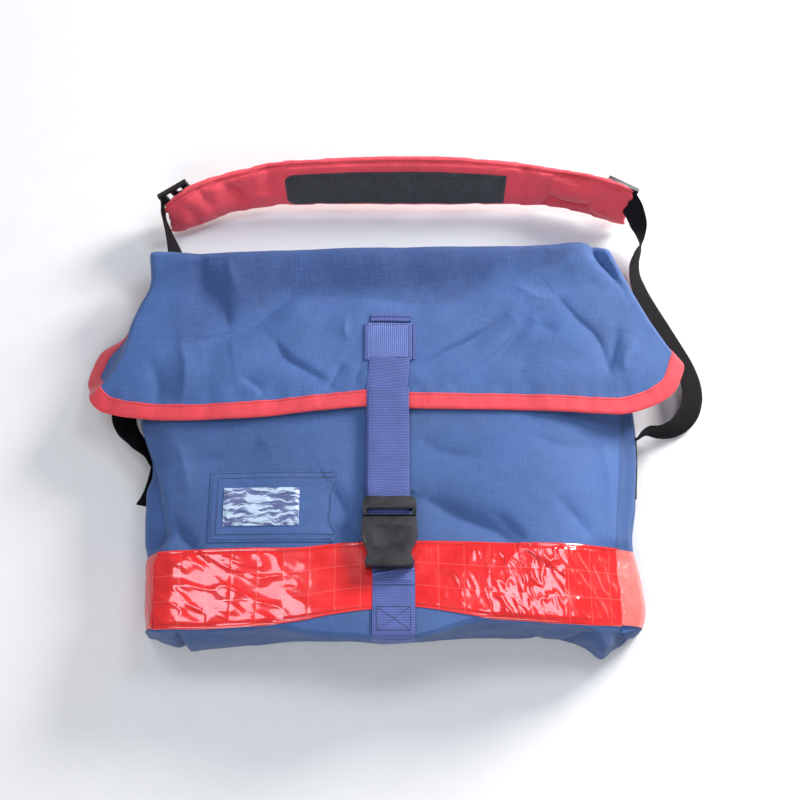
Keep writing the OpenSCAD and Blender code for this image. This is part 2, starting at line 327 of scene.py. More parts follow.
def shell(name, grid, uv, thick, material, sharp=40, centre=UNDER_ALL):
    """A closed sheet: the grid is its outer face, and it is thick towards centre."""
    rows, cols = grid.shape[:2]
    inner = grid - outward(grid, centre) * thick
    count = rows * cols
    rim = ([(0, c) for c in range(cols)] + [(r, cols - 1) for r in range(1, rows)]
           + [(rows - 1, c) for c in range(cols - 2, -1, -1)] + [(r, 0) for r in range(rows - 2, 0, -1)])
    ring = np.array([r * cols + c for r, c in rim])
    after = np.roll(ring, -1)
    side = np.stack([ring, ring + count, after + count, after], -1)
    faces = np.vstack([grid_faces(rows, cols), grid_faces(rows, cols, count)[:, ::-1], side])
    points = np.vstack([grid.reshape(-1, 3), inner.reshape(-1, 3)])
    flat = uv.reshape(-1, 2)
    return add_mesh(name, points, faces, np.vstack([flat, flat]), material, sharp)


def sweep(name, rings, uv, material):
    """A closed tube through rings of points, capped at both ends."""
    count, around = rings.shape[:2]
    faces = [list(f) for f in grid_faces(count, around, wrap=True)]
    faces.append(list(range(around)))
    faces.append([(count - 1) * around + k for k in range(around - 1, -1, -1)])
    return add_mesh(name, rings.reshape(-1, 3), faces, uv.reshape(-1, 2), material)


def lifted(surface, u, v, lift):
    """Points of a surface, raised off it along its normal."""
    e = 0.6
    across = surface(u + e, v) - surface(u - e, v)
    up = surface(u, v + e) - surface(u, v - e)
    return surface(u, v) + unit(np.cross(across, up)) * np.asarray(lift)[..., None]


TAPE_POINTS = 12
TAPE_EDGE = 14


def tape_outline():
    """A tape's outline as (share of its width, share of its thickness): flat, with round edges."""
    top = np.linspace(-1, 1, TAPE_POINTS)
    round_edge = np.sqrt(np.maximum(1 - np.abs(top) ** TAPE_EDGE, 0))
    upper = np.stack([top, round_edge], 1)
    return np.vstack([upper, (upper * [1, -1])[::-1][1:-1]])


def ribbon(name, route, rolls, width, thick, material, count):
    """Flat webbing along a route; a roll of 0 stands it on edge and of 90 degrees lays it flat."""
    path = spline(route, count)
    turn = np.radians(np.interp(np.linspace(0, 1, count), np.linspace(0, 1, len(rolls)), rolls))
    tangent = unit(np.gradient(path, axis=0))
    side = unit(np.cross(tangent, [0, 0, 1.0]))
    up = np.cross(side, tangent)
    across = up * np.cos(turn)[:, None] + side * np.sin(turn)[:, None]
    face = np.cross(across, tangent)
    outline = tape_outline()
    rings = (path[:, None] + across[:, None] * outline[None, :, :1] * width / 2
             + face[:, None] * outline[None, :, 1:] * thick / 2)
    return sweep(name, rings, tape_uv(outline, width, path), material)


def tape_uv(outline, width, path):
    return np.stack(np.broadcast_arrays(outline[None, :, 0] * width / 2, run_of(path)[:, None]), -1)


def tape_on(name, surface, route, width, thick, lift, material, count=60):
    """A tape lying on a surface along a route of (u, v) points."""
    path = spline(route, count)
    across = -inward_of(path)
    outline = tape_outline()
    flat = path[:, None] + across[:, None] * outline[None, :, :1] * width / 2
    high = np.asarray(lift) + thick / 2 * (1 + outline[None, :, 1])
    rings = lifted(surface, flat[..., 0], flat[..., 1], np.broadcast_to(high, flat.shape[:2]))
    return sweep(name, rings, tape_uv(outline, width, path), material)


def inward_of(path):
    """The direction square to a flat path, on its left."""
    tangent = unit(np.gradient(path, axis=0))
    return np.stack([-tangent[:, 1], tangent[:, 0]], 1)


# A stitch is a spindle: (place along it as a share of its length, share of its radius)
SPINDLE = [(-0.5, 0.25), (-0.3, 0.9), (0.3, 0.9), (0.5, 0.25)]
STITCH_SIDES = 5


def stitches(name, lines, material, pitch=3.2, long=2.3, radius=0.32):
    """Rows of thread along 3-D lines: one spindle for every stitch."""
    points, faces, uv = [], [], []
    ring = np.linspace(0, TAU, STITCH_SIDES, endpoint=False)
    for line in lines:
        line = np.asarray(line, float)
        length = run_of(line)
        number = max(1, int(length[-1] / pitch))
        for k in range(number):
            at = (k + 0.5) * length[-1] / number
            ends = [np.array([np.interp(at + d, length, line[:, i]) for i in range(3)])
                    for d in (-long / 2, long / 2)]
            way = ends[1] - ends[0]
            size = np.linalg.norm(way)
            # A line that turns back on itself leaves no room for a stitch
            if size < 0.2 * long:
                continue
            way /= size
            side = np.cross(way, [0, 0, 1.0])
            side /= max(np.linalg.norm(side), 1e-6)
            top = np.cross(side, way)
            start = len(points)
            for share, fat in SPINDLE:
                centre = (ends[0] + ends[1]) / 2 + way * size * share
                for a in ring:
                    points.append(centre + radius * fat * (side * math.cos(a) + top * math.sin(a)))
                    uv.append((share * long, a))
            faces += [list(f) for f in grid_faces(len(SPINDLE), STITCH_SIDES, start, wrap=True)]
            faces.append([start + i for i in range(STITCH_SIDES)])
            faces.append([start + 3 * STITCH_SIDES + i for i in range(STITCH_SIDES - 1, -1, -1)])
    return add_mesh(name, points, faces, np.array(uv), material)


LINE_STEP = 1.5


def line_on(surface, route, lift):
    """A 3-D line along a surface through (u, v) points joined by straight runs."""
    route = np.array(route, float)
    out = []
    for a, b in zip(route[:-1], route[1:]):
        number = max(2, int(np.linalg.norm(b - a) / LINE_STEP))
        out.append(a + (b - a) * np.linspace(0, 1, number, endpoint=False)[:, None])
    flat = np.vstack(out + [route[-1:]])
    return lifted(surface, flat[:, 0], flat[:, 1], np.full(len(flat), lift))


def rest_on(obj, body, slot, *nodes):
    """Rides on a body and stands for CAD nodes, which it hides; slot is not used."""
    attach(obj, body)
    if nodes:
        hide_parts(*nodes)
    return obj

# ---- materials: worked out from the cloth's own flat coordinates or the place on the object ----


def srgb(r, g, b):
    """A colour given as 0 to 255 values, made linear."""
    def one(c):
        c = c / 255
        return c / 12.92 if c < 0.04045 else ((c + 0.055) / 1.055) ** 2.4
    return one(r), one(g), one(b), 1.0


class Finish:
    """A material's node tree, with short makers for the nodes that it needs."""

    def __init__(self, name, **shader):
        self.material = bpy.data.materials.new(name)
        self.material.use_nodes = True
        self.tree = self.material.node_tree
        self.shader = self.tree.nodes["Principled BSDF"]
        for socket, value in shader.items():
            self.shader.inputs[socket.replace("_", " ")].default_value = value

    def node(self, kind, **settings):
        made = self.tree.nodes.new("ShaderNode" + kind)
        for key, value in settings.items():
            setattr(made, key, value)
        return made

    def put(self, value, socket):
        if isinstance(value, bpy.types.NodeSocket):
            self.tree.links.new(value, socket)
        else:
            socket.default_value = value

    def math(self, operation, a, b=0.0):
        made = self.node("Math", operation=operation)
        self.put(a, made.inputs[0])
        self.put(b, made.inputs[1])
        return made.outputs[0]

    def times(self, a, b):
        return self.math("MULTIPLY", a, b)

    def plus(self, a, b):
        return self.math("ADD", a, b)

    def less(self, a, b):
        return self.math("SUBTRACT", a, b)

    def flat(self):
        """The cloth's flat coordinates, in metres."""
        return self.node("UVMap", uv_map="flat").outputs[0]

    def place(self):
        """The place on the object, in metres."""
        return self.node("TexCoord").outputs["Object"]

    def parts(self, vector):
        split = self.node("SeparateXYZ")
        self.put(vector, split.inputs[0])
        return split.outputs[0], split.outputs[1], split.outputs[2]

    def scaled(self, vector, scale, turn=0.0):
        made = self.node("Mapping")
        self.put(vector, made.inputs["Vector"])
        made.inputs["Scale"].default_value = scale
        made.inputs["Rotation"].default_value = (0, 0, turn)
        return made.outputs[0]

    def noise(self, vector, scale, detail=2.0, roughness=0.5):
        made = self.node("TexNoise")
        self.put(vector, made.inputs["Vector"])
        made.inputs["Scale"].default_value = scale
        made.inputs["Detail"].default_value = detail
        made.inputs["Roughness"].default_value = roughness
        return made.outputs["Fac"]

    def span(self, value, low, high, to_low=0.0, to_high=1.0):
        made = self.node("MapRange")
        made.interpolation_type = "SMOOTHSTEP"
        self.put(value, made.inputs["Value"])
        for socket, number in zip(made.inputs[1:5], (low, high, to_low, to_high)):
            socket.default_value = number
        return made.outputs[0]

    def wave(self, value, pitch):
        """0 to 1 and back, once every pitch metres."""
        sine = self.math("SINE", self.times(value, TAU / pitch))
        return self.span(sine, -1, 1)

    def pips(self, vector, scale, feature):
        """Distance from the middle of scattered cells."""
        made = self.node("TexVoronoi", feature=feature)
        made.inputs["Scale"].default_value = scale
        self.put(vector, made.inputs["Vector"])
        return made.outputs["Distance"]

    def blend(self, share, a, b):
        made = self.node("Mix", data_type="RGBA")
        self.put(share, made.inputs[0])
        self.put(a, made.inputs[6])
        self.put(b, made.inputs[7])
        return made.outputs[2]

    def dab(self, shade, mask, low, high, share, other):
        """Takes a shade towards another as a mask goes from low to high, as far as share."""
        return self.blend(self.span(mask, low, high, 0.0, share), shade, other)

    def colour(self, value):
        self.put(value, self.shader.inputs["Base Color"])

    def roughness(self, value):
        self.put(value, self.shader.inputs["Roughness"])

    def bump(self, height, distance, strength=1.0, after=None):
        made = self.node("Bump")
        made.inputs["Distance"].default_value = distance
        made.inputs["Strength"].default_value = strength
        self.put(height, made.inputs["Height"])
        if after is not None:
            self.put(after, made.inputs["Normal"])
        return made.outputs[0]

    def normal(self, value):
        self.put(value, self.shader.inputs["Normal"])


def lighter(colour, k):
    """A colour times k; less than 1 is darker."""
    return tuple(min(1, c * k) for c in colour[:3]) + (1.0,)


# The flap's long crease: level in the middle, it climbs on the right and drops on the left
CREASE_Y = 0.138
CREASE_RIGHT = (0.06, 0.42)
CREASE_LEFT = (-0.10, 0.5)


def painted_shade_top(f, u, v, drift):
    """Painted shade: the flap's upper part, above its long crease, is coloured darker than the part below.
    """
    right = f.times(f.math("MAXIMUM", f.less(u, CREASE_RIGHT[0]), 0.0), CREASE_RIGHT[1])
    left = f.times(f.math("MAXIMUM", f.less(CREASE_LEFT[0], u), 0.0), CREASE_LEFT[1])
    line = f.less(f.plus(right, CREASE_Y), left)
    over = f.plus(f.less(v, line), f.times(f.less(drift, 0.5), 0.05))
    return f.times(f.span(over, -0.012, 0.02), f.span(u, -0.225, -0.185))


# The colour of the painted shade on the flap's top
PAINTED_SHADE_NAVY = srgb(38, 55, 108)
SCUFFED_NAVY = srgb(186, 196, 222)


def cloth_finish(name, colour, thread=0.0006, slub=1.35, scuffs=0.0, sheen=0.12, has_flat=True,
                 painted_top_shade=0.0, painted_side_light=0.0):
    """Woven cloth: crossing threads, uneven yarn, rubbed patches, and painted light and shade across it and
    over the flap's top.
    """
    f = Finish(name, Sheen_Weight=sheen, Sheen_Roughness=0.45, Roughness=0.6, Specular_IOR_Level=0.42)
    where = f.flat() if has_flat else f.place()
    u, v, w = f.parts(where)
    if not has_flat:
        v = f.plus(v, w)
    warp = f.wave(u, thread)
    weft = f.wave(v, thread)
    weave = f.plus(f.times(warp, f.less(1.0, weft)), f.times(weft, f.less(1.0, warp)))
    long_yarn = f.noise(f.scaled(where, (900, 60, 300)), 1.0, 2.0)
    cross_yarn = f.noise(f.scaled(where, (60, 900, 300)), 1.0, 2.0)
    yarn = f.plus(long_yarn, cross_yarn)
    patches = f.noise(where, 14.0, 4.0, 0.6)
    fine = f.noise(where, 120.0, 3.0, 0.6)
    shade = f.blend(f.span(patches, 0.3, 0.72), lighter(colour, 0.88), lighter(colour, 1.12))
    # Painted light towards the cloth's right side and painted shade towards its left
    if painted_side_light:
        across = f.plus(u, f.times(f.less(patches, 0.5), 0.12))
        shade = f.dab(shade, across, 0.02, 0.2, painted_side_light, lighter(colour, 1.6))
        shade = f.dab(shade, across, -0.06, -0.2, painted_side_light, lighter(colour, 0.6))
    if painted_top_shade:
        top = painted_shade_top(f, u, v, f.noise(where, 22.0, 3.0, 0.55))
        shade = f.blend(f.times(top, painted_top_shade), shade, PAINTED_SHADE_NAVY)
    shade = f.dab(shade, yarn, 0.78, 1.22, 0.22 * slub, lighter(colour, 1.4))
    shade = f.dab(shade, yarn, 0.98, 0.75, 0.18 * slub, lighter(colour, 0.7))
    shade = f.blend(f.times(weave, 0.18), shade, lighter(colour, 0.7))
    if scuffs:
        streak = f.noise(f.scaled(where, (55, 230, 100), 0.5), 1.0, 3.0, 0.65)
        rubbed = f.times(f.span(streak, 0.70, 0.80), f.span(fine, 0.45, 0.62))
        shade = f.blend(f.times(rubbed, scuffs), shade, SCUFFED_NAVY)
    f.colour(shade)
    f.roughness(f.span(patches, 0.3, 0.75, 0.52, 0.68))
    coarse = f.bump(yarn, 0.00035, 0.55)
    f.normal(f.bump(weave, 0.00018, 0.6, coarse))
    return f.material


def webbing_finish(name, colour, width, rib=0.00155, gloss=0.55, sheen=0.2, shine=0.4):
    """Woven webbing: a rib across at every pick, a fine twill between two plain edges."""
    f = Finish(name, Sheen_Weight=sheen, Sheen_Roughness=0.4, Roughness=gloss, Specular_IOR_Level=shine)
    where = f.flat()
    u, v, _ = f.parts(where)
    half = width * MM / 2
    edge = f.span(f.math("ABSOLUTE", u), half - 0.0042, half - 0.0034)
    rib_wave = f.wave(v, rib)
    twill = f.wave(f.plus(u, f.times(v, 0.5)), 0.0011)
    cords = f.wave(u, 0.0014)
    body = f.plus(f.times(rib_wave, 0.7), f.times(twill, 0.3))
    border = f.plus(f.times(rib_wave, 0.55), f.times(cords, 0.45))
    height = f.plus(f.times(body, f.less(1.0, edge)), f.times(border, edge))
    fuzz = f.noise(where, 900.0, 2.0)
    worn = f.noise(where, 30.0, 4.0, 0.6)
    # Painted shade and highlight: the ribs' tops lighter and the grooves darker, following the bump's height
    shade = f.blend(f.span(height, 0.15, 0.85), lighter(colour, 0.45), lighter(colour, 1.3))
    shade = f.dab(shade, worn, 0.35, 0.75, 0.3, lighter(colour, 1.7))
    shade = f.dab(shade, fuzz, 0.55, 0.8, 0.25, lighter(colour, 1.9))
    f.colour(shade)
    f.normal(f.bump(fuzz, 0.0001, 0.5, f.bump(height, 0.0006, 0.9)))
    return f.material


WELD_RED = srgb(255, 150, 140)


def vinyl_finish(name, colour, shine=1.0, rough=0.22):
    """Glossy reflective film: fine prisms under a clear face, pale where it is welded."""
    f = Finish(name, Roughness=rough, Coat_Weight=shine, Coat_Roughness=0.035, Coat_IOR=1.5,
               Specular_IOR_Level=0.5)
    where = f.flat()
    prisms = f.pips(where, 1400.0, "F1")
    cloudy = f.noise(where, 26.0, 4.0, 0.6)
    shade = f.blend(f.span(cloudy, 0.3, 0.75), lighter(colour, 0.84), lighter(colour, 1.12))
    shade = f.blend(f.times(prisms, 0.16), shade, lighter(colour, 1.5))
    across, up = [f.math("ABSOLUTE", f.less(f.math("FRACT", f.math("DIVIDE", part, CELL * MM)), 0.5))
                  for part in f.parts(where)[:2]]
    weld = f.span(f.math("MAXIMUM", across, up), 0.478, 0.492)
    shade = f.blend(f.times(weld, 0.22), shade, WELD_RED)
    f.colour(shade)
    ripple = f.noise(where, 210.0, 3.0, 0.55)
    f.roughness(f.span(cloudy, 0.35, 0.7, rough - 0.06, rough + 0.08))
    f.normal(f.bump(prisms, 0.00006, 0.3))
    f.put(f.bump(ripple, 0.0002, 0.22), f.shader.inputs["Coat Normal"])
    return f.material


def film_finish(name):
    """Thin clear vinyl, creased from use, with pale streaks along its waves that are partly milky haze and
    partly painted reflection.
    """
    f = Finish(name, IOR=1.49)
    where = f.flat()
    drift = f.noise(where, 70.0, 2.0)
    warped = f.node("VectorMath", operation="ADD")
    f.put(where, warped.inputs[0])
    bent = f.node("CombineXYZ")
    f.put(f.times(drift, 0.012), bent.inputs[1])
    f.put(bent.outputs[0], warped.inputs[1])
    # Pale streaks: partly milky haze in the vinyl, partly painted reflection
    haze_and_reflection = f.span(f.noise(f.scaled(warped.outputs[0], (45, 235, 100)), 1.0, 2.0, 0.55), 0.44, 0.56)
    f.put(f.span(haze_and_reflection, 0.0, 1.0, 0.66, 0.2), f.shader.inputs["Transmission Weight"])
    f.colour(f.blend(haze_and_reflection, srgb(152, 166, 218), srgb(206, 228, 250)))
    f.roughness(f.span(haze_and_reflection, 0.0, 1.0, 0.06, 0.3))
    f.normal(f.bump(f.noise(f.scaled(where, (60, 260, 100)), 1.0, 3.0), 0.0004, 0.6))
    return f.material


def moulded_finish(name, colour, gloss=0.42):
    """Moulded acetal: fine spark grain, a little dust and pale scratches on what stands out."""
    f = Finish(name, Specular_IOR_Level=0.45, Roughness=gloss)
    where = f.place()
    grain = f.noise(where, 2600.0, 2.0)
    worn = f.noise(where, 70.0, 5.0, 0.65)
    scratch = f.noise(f.scaled(where, (900, 60, 300), 0.6), 1.0, 3.0, 0.7)
    shade = f.dab(colour, worn, 0.42, 0.72, 0.8, lighter(colour, 2.1))
    shade = f.dab(shade, scratch, 0.62, 0.74, 0.35, lighter(colour, 4.0))
    f.colour(shade)
    f.roughness(f.span(worn, 0.35, 0.7, gloss - 0.1, gloss + 0.16))
    f.normal(f.bump(grain, 0.00012, 0.35, f.bump(scratch, 0.0001, 0.3)))
    return f.material


def thread_finish(name, colour):
    """Sewing thread, twisted from two plies."""
    f = Finish(name, Roughness=0.55, Sheen_Weight=0.3)
    u, v, _ = f.parts(f.flat())
    twist = f.wave(f.plus(u, f.times(v, 0.3)), 0.0007)
    # Painted shade and highlight along the twist, following its bump
    f.colour(f.blend(twist, lighter(colour, 0.6), lighter(colour, 1.25)))
    f.normal(f.bump(twist, 0.0002, 0.6))
    return f.material


def grip_finish(name, colour):
    """Dark grip cloth with raised pips, dusty from the shoulder."""
    f = Finish(name, Roughness=0.88, Sheen_Weight=0.35, Sheen_Roughness=0.6)
    where = f.place()
    pips = f.pips(where, 620.0, "SMOOTH_F1")
    dust = f.noise(where, 45.0, 5.0, 0.65)
    fuzz = f.noise(where, 1500.0, 2.0)
    # Painted highlight on the pips' tops and painted shade between them, following the bump
    shade = f.blend(f.span(pips, 0.1, 0.6), lighter(colour, 1.35), lighter(colour, 0.6))
    shade = f.dab(shade, dust, 0.45, 0.75, 0.35, lighter(colour, 2.4))
    shade = f.dab(shade, fuzz, 0.6, 0.85, 0.3, lighter(colour, 3.0))
    f.colour(shade)
    f.normal(f.bump(pips, -0.0004, 0.7))
    return f.material


NAVY = srgb(62, 95, 152)
navy_cloth = cloth_finish("proofed_navy_cloth", NAVY, scuffs=0.5)
# The front has painted light on its right and painted shade on its left
navy_front = cloth_finish("proofed_navy_front_cloth", NAVY, scuffs=0.5, painted_side_light=0.45)
# The flap's cloth is a lighter navy, painted light on its lower part, with painted shade over its top
navy_flap = cloth_finish("proofed_navy_flap_cloth", lighter(NAVY, 1.14), scuffs=0.6, painted_top_shade=0.62)
# The base is a darker copy of the navy: painted shade for the base, which faces away from the light
shaded_navy_base = cloth_finish("proofed_navy_base_cloth_painted_shade", lighter(NAVY, 0.76), scuffs=0.5)
navy_inside = cloth_finish("proofed_navy_cloth_inside", srgb(48, 68, 116), slub=0.6)
red_tape = cloth_finish("red_binding_tape", srgb(232, 66, 78), thread=0.0009, slub=0.6, sheen=0.3)
red_pad = cloth_finish("red_pad_cloth", srgb(244, 74, 90), slub=0.5, sheen=0.35, has_flat=False)
red_vinyl = vinyl_finish("red_reflective_vinyl", srgb(232, 30, 32))
dull_vinyl = vinyl_finish("red_reflective_vinyl_dull", srgb(226, 26, 30), shine=0.25, rough=0.36)
# A paler copy of the red film for the right wrap: painted light on the side that faces the lamps
lit_pale_vinyl = vinyl_finish("red_reflective_vinyl_painted_light", srgb(236, 118, 112))
clear_film = film_finish("clear_window_vinyl")
navy_web = webbing_finish("navy_webbing", srgb(84, 100, 168), STRAP_W)
navy_patch = webbing_finish("navy_webbing_patch", srgb(100, 120, 188), STRAP_W, rib=0.0019)
black_web = webbing_finish("black_webbing", srgb(25, 23, 27), WEB_W, rib=0.0013, gloss=0.75, sheen=0.0,
                           shine=0.12)
black_acetal = moulded_finish("moulded_black_acetal", srgb(32, 31, 34))
grip_cloth = grip_finish("grip_cloth", srgb(44, 46, 50))
navy_thread = thread_finish("navy_thread", srgb(30, 42, 92))
red_thread = thread_finish("red_thread", srgb(150, 14, 22))
black_thread = thread_finish("black_thread", srgb(20, 20, 22))

# ---- camera, light and floor ----


CAMERA_AT = (0.0065, -0.465, 1.4226)
CAMERA_TILT = math.radians(20)
LENS = 69.8
LIT = (0, 0.03, 0.03)
# The lights: (name, place, size, power, colour), all aimed at LIT
LIGHTS = [("key", (1.45, 1.25, 0.84), 0.8, 60, (1, 0.985, 0.96)),
          ("front_fill", (-0.2, -1.5, 1.25), 1.4, 15, (0.97, 0.985, 1)),
          ("upper_right", (0.54, 0.57, 1.62), 0.56, 4.8, (0.9, 0.95, 1.1)),
          ("upper_left", (-0.62, 0.48, 1.62), 0.56, 4.2, (0.9, 0.95, 1.1))]


def make_camera():
    data = bpy.data.cameras.new("camera")
    data.lens, data.sensor_width = LENS, 36
    camera = new_object("camera", data)
    camera.location = CAMERA_AT
    camera.rotation_euler = (CAMERA_TILT, 0, 0)
    bpy.context.scene.camera = camera


def make_light(name, place, size, power, colour):
    data = bpy.data.lights.new(name, "AREA")
    data.shape, data.size, data.energy, data.color = "DISK", size, power, colour
    light = new_object(name, data)
    light.location = place
    light.rotation_euler = (Vector(LIT) - Vector(place)).to_track_quat("-Z", "Y").to_euler()


def make_stage():
    """A pale floor just under the sack, a dim even sky and four lamps."""
    world = bpy.data.worlds.new("studio")
    world.use_nodes = True
    sky = world.node_tree.nodes["Background"]
    sky.inputs[0].default_value = (0.94, 0.96, 1.0, 1)
    sky.inputs[1].default_value = 0.28
    bpy.context.scene.world = world
    for light in LIGHTS:
        make_light(*light)
    paper = Finish("pale_floor", Roughness=0.9, Specular_IOR_Level=0.2)
    grain = paper.noise(paper.place(), 40.0, 3.0)
    paper.colour(paper.blend(grain, srgb(238, 238, 238), srgb(244, 244, 244)))
    mesh = bpy.data.meshes.new("floor")
    mesh.from_pydata([(-3, -3, 0), (3, -3, 0), (3, 3, 0), (-3, 3, 0)], [], [(0, 1, 2, 3)])
    mesh.materials.append(paper.material)
    floor = new_object("floor", mesh)
    floor.location = (0, 0, -0.0005)
    bpy.context.scene.view_settings.view_transform = "Standard"


make_camera()
make_stage()

# ---- the bag's front, as a height over its plan ----


def mid_z(y):
    return BASE_H - SLOPE * (y - FOOT_Y)


def plan_z(x, y):
    """The plain crowned front, as the part has it."""
    crown = mix(10, 4, np.clip((y - 40) / (HINGE_Y - 40), 0, 1))
    return mid_z(y) - crown * (np.abs(x) / HALF_W) ** 4


# Where the front cloth ends at each side, and the widest line of the sides below it
LEFT_SEAM = [(-188, -213), (-150, -211), (-122, -210), (-112, -204), (-100, -197), (-85, -198),
             (-34, -218), (11, -235), (40, -234), (110, -231), (150, -224), (194, -212)]
RIGHT_SEAM = [(-188, 207), (-150, 206), (-110, 204), (-60, 208), (0, 214), (40, 214), (120, 207), (194, 199)]
LEFT_SIDE = [(-182, -222), (-165, -224.5), (-130, -226), (-100, -228), (-68, -231), (-52, -230), (-38, -225),
             (-22, -225), (-5, -231), (12, -237), (60, -239), (110, -235), (160, -226), (194, -214)]
RIGHT_SIDE = [(-178, 227), (-165, 230), (-136, 228), (-98, 222), (-57, 228), (12, 231), (60, 228),
              (194, 207)]
FOOT_SEAM = [(-213, -188), (-170, -189), (-130, -188), (-113, -186), (-69, -194), (-20, -198), (18, -198),
             (27, -196), (76, -181), (115, -182), (167, -184), (190, -183), (207, -180)]
FOOT_SIDE = [(-225, -182), (-208, -190), (-187, -195), (-165, -195), (-133, -191), (-86, -188), (-40, -188),
             (0, -190), (50, -186), (105, -185), (138, -185), (160, -188), (178, -195), (190, -204),
             (201, -196), (214, -190), (227, -178)]
BELT_Z = 20
# The front's slack folds, as (route, height, reach left, reach right)
FRONT_FOLDS = [
    ([(26, -64), (60, -80), (88, -92), (116, -112)], -6.0, 9, 26),
    ([(94, -80), (108, -93), (121, -107)], -2.0, 4, 10),
    ([(150, -62), (168, -82), (182, -100)], -2.4, 8, 13),
    ([(24, -8), (46, -20), (84, -26)], -1.8, 9, 16),
    ([(128, -2), (160, -12), (196, -8)], -1.6, 9, 14),
    ([(-58, -52), (-44, -76), (-30, -102)], -3.4, 8, 20),
    ([(-118, -8), (-150, -24), (-196, -30)], -2.6, 18, 10),
    ([(-204, -6), (-192, -34), (-186, -62)], 1.6, 9, 12),
    ([(-199, -84), (-190, -98), (-176, -114)], -3.6, 3.5, 10),
    ([(196, 14), (202, -40), (199, -98)], 1.3, 5, 7),
    ([(-30, 30), (-34, -10), (-36, -60)], -1.3, 8, 14),
]


def front_height(x, y):
    """The worn front: sunk, pulled up by the closure, and creased."""
    z = plan_z(x, y)
    # The mouth's end sinks a little, the side towards the strap's free end slopes away
    z = z - 7 * ramp(y, 55, 125)
    steep = mix(0.62, 0.42, ramp(y, -118, -95)) * mix(1, 0.5, ramp(y, 0, 60))
    soft = mix(4, 12, ramp(y, -125, -90))
    z = z - steep * soft * np.logaddexp(0, (x - 160) / soft)
    z = z - 3.5 * ramp(-x, 196, 216) * ramp(-y, 110, 122) - 5 * ramp(-x, 205, 232) * ramp(y, -110, -60)
    # The closure pulls the foot up and presses the front down under the buckle
    z = z + 7 * bump(x, 0, 62) * ramp(-y, 140, 200) - 3 * bump(x, -2, 46) * bump(y, -100, 42)
    foot = along(FOOT_SEAM, x)
    z = z - 3.2 * (1 - ramp(y, foot, foot + 4))
    z = folded(z, x, y, FRONT_FOLDS)
    # Cloth is never quite flat
    rest = 1 - 0.75 * ramp(-y, 100, 115)
    z = z + 1.3 * cloth_noise(x, y, 11, 95) + rest * 0.55 * cloth_noise(x, y, 14, 34, 1.6, 0.6)
    return z + rest * 0.16 * cloth_noise(x, y, 17, 12, 1.8, -0.4)


front_z = Heights(front_height, (-250, 250), (-215, 200), 1.5)


def front(x, y):
    return np.stack([x, y, front_z(x, y)], -1)


# ---- the sides: from the front's seam out to the widest line, and down to the floor ----

# How far down the side cloth its widest line and the floor are
SIDE_BELT = 52
SIDE_FLOOR = 70


def side_surface(seam, widest, v, buckle, way, tuck):
    """Cloth from a seam over a widest line to the floor.

    v runs down it in millimetres, buckle pushes it the way, and tuck draws its foot in.
    """
    top = front(seam[..., 0], seam[..., 1])
    belt = np.stack([widest[..., 0], widest[..., 1], np.full(widest.shape[:-1], float(BELT_Z))], -1)
    t = np.clip(v / SIDE_BELT, 0, 1)[..., None]
    out = belt[..., :2] - top[..., :2]
    plan = top[..., :2] + out * np.sin(t * math.pi / 2) ** 0.9
    z = mix(top[..., 2:], belt[..., 2:], t**1.25)
    below = np.clip((v - SIDE_BELT) / (SIDE_FLOOR - SIDE_BELT), 0, 1)[..., None]
    plan = plan + np.array(way, float) * (buckle[..., None] * (1 - 0.6 * below) - tuck[..., None] * below**2)
    z = z - (BELT_Z - 0.9) * below
    return np.concatenate([plan, z + 0.35 * buckle[..., None] * (1 - below) * (t < 1)], -1)


def left_side(y, v):
    seam = np.stack([along(LEFT_SEAM, y), y], -1)
    widest = np.stack([along(LEFT_SIDE, y), np.maximum(y, -182.0)], -1)
    free = ramp(y, -116, -102)
    slack = free * ramp(-y, -30, 50)
    folds = slack * (-7 * bump(v, 17, 7) + 3 * bump(v, 33, 9))
    folds = folds + free * 2.2 * cloth_noise(y, v, 31, 26, 2.2) * bump(v, 34, 26)
    return side_surface(seam, widest, v, folds * ramp(v, 0, 6), (-1, 0), 4 * ramp(y, -180, -165) + 0 * v)


def right_side(y, v):
    seam = np.stack([along(RIGHT_SEAM, y), y], -1)
    widest = np.stack([along(RIGHT_SIDE, y), np.maximum(y, -178.0)], -1)
    free = ramp(y, -112, -100)
    folds = free * (-2.5 * bump(v, 13, 5) + 1.8 * bump(v, 24, 7))
    folds = folds + free * 2.0 * cloth_noise(y, v, 35, 28, 2.0) * bump(v, 34, 26)
    return side_surface(seam, widest, v, folds * ramp(v, 0, 6), (1, 0), 4 * ramp(y, -176, -162) + 0 * v)


def base_side(x, v):
    inner = np.clip(x, -213, 207)
    seam = np.stack([inner, along(FOOT_SEAM, inner)], -1)
    widest = np.stack([x, along(FOOT_SIDE, x)], -1)
    folds = -6.5 * bump(x, -190, 3.2) * ramp(v, 2, 24) + 2.4 * bump(x, -182, 5) * ramp(v, 2, 24)
    folds = folds + 2.6 * bump(x, 150, 12) * bump(v, 34, 16) - 3.0 * bump(x, 168, 6) * bump(v, 30, 18)
    folds = folds - 5.0 * bump(x - 0.35 * v, 196, 5) * ramp(v, 4, 26)
    folds = folds - 4.0 * bump(x + 0.5 * v, 182, 4) * ramp(v, 2, 20)
    folds = folds - 2.2 * bump(x - 0.2 * v, 120, 4) * ramp(v, 4, 20)
    folds = folds + 1.7 * cloth_noise(x, v, 41, 30, 1.6) + 0.5 * cloth_noise(x, v, 43, 11, 1.5, 0.5)
    ends = ramp(x, -225, -214) * ramp(-x, -227, -214)
    return side_surface(seam, widest, v, folds * ramp(v, 0, 8) * ends, (0, -1), 4 * ends + 0 * v)


def seam_roll(edge, reach, height):
    """How a sewn edge stands up: a low ridge that ends at the edge."""
    return height * np.exp(-(edge / reach) ** 2)


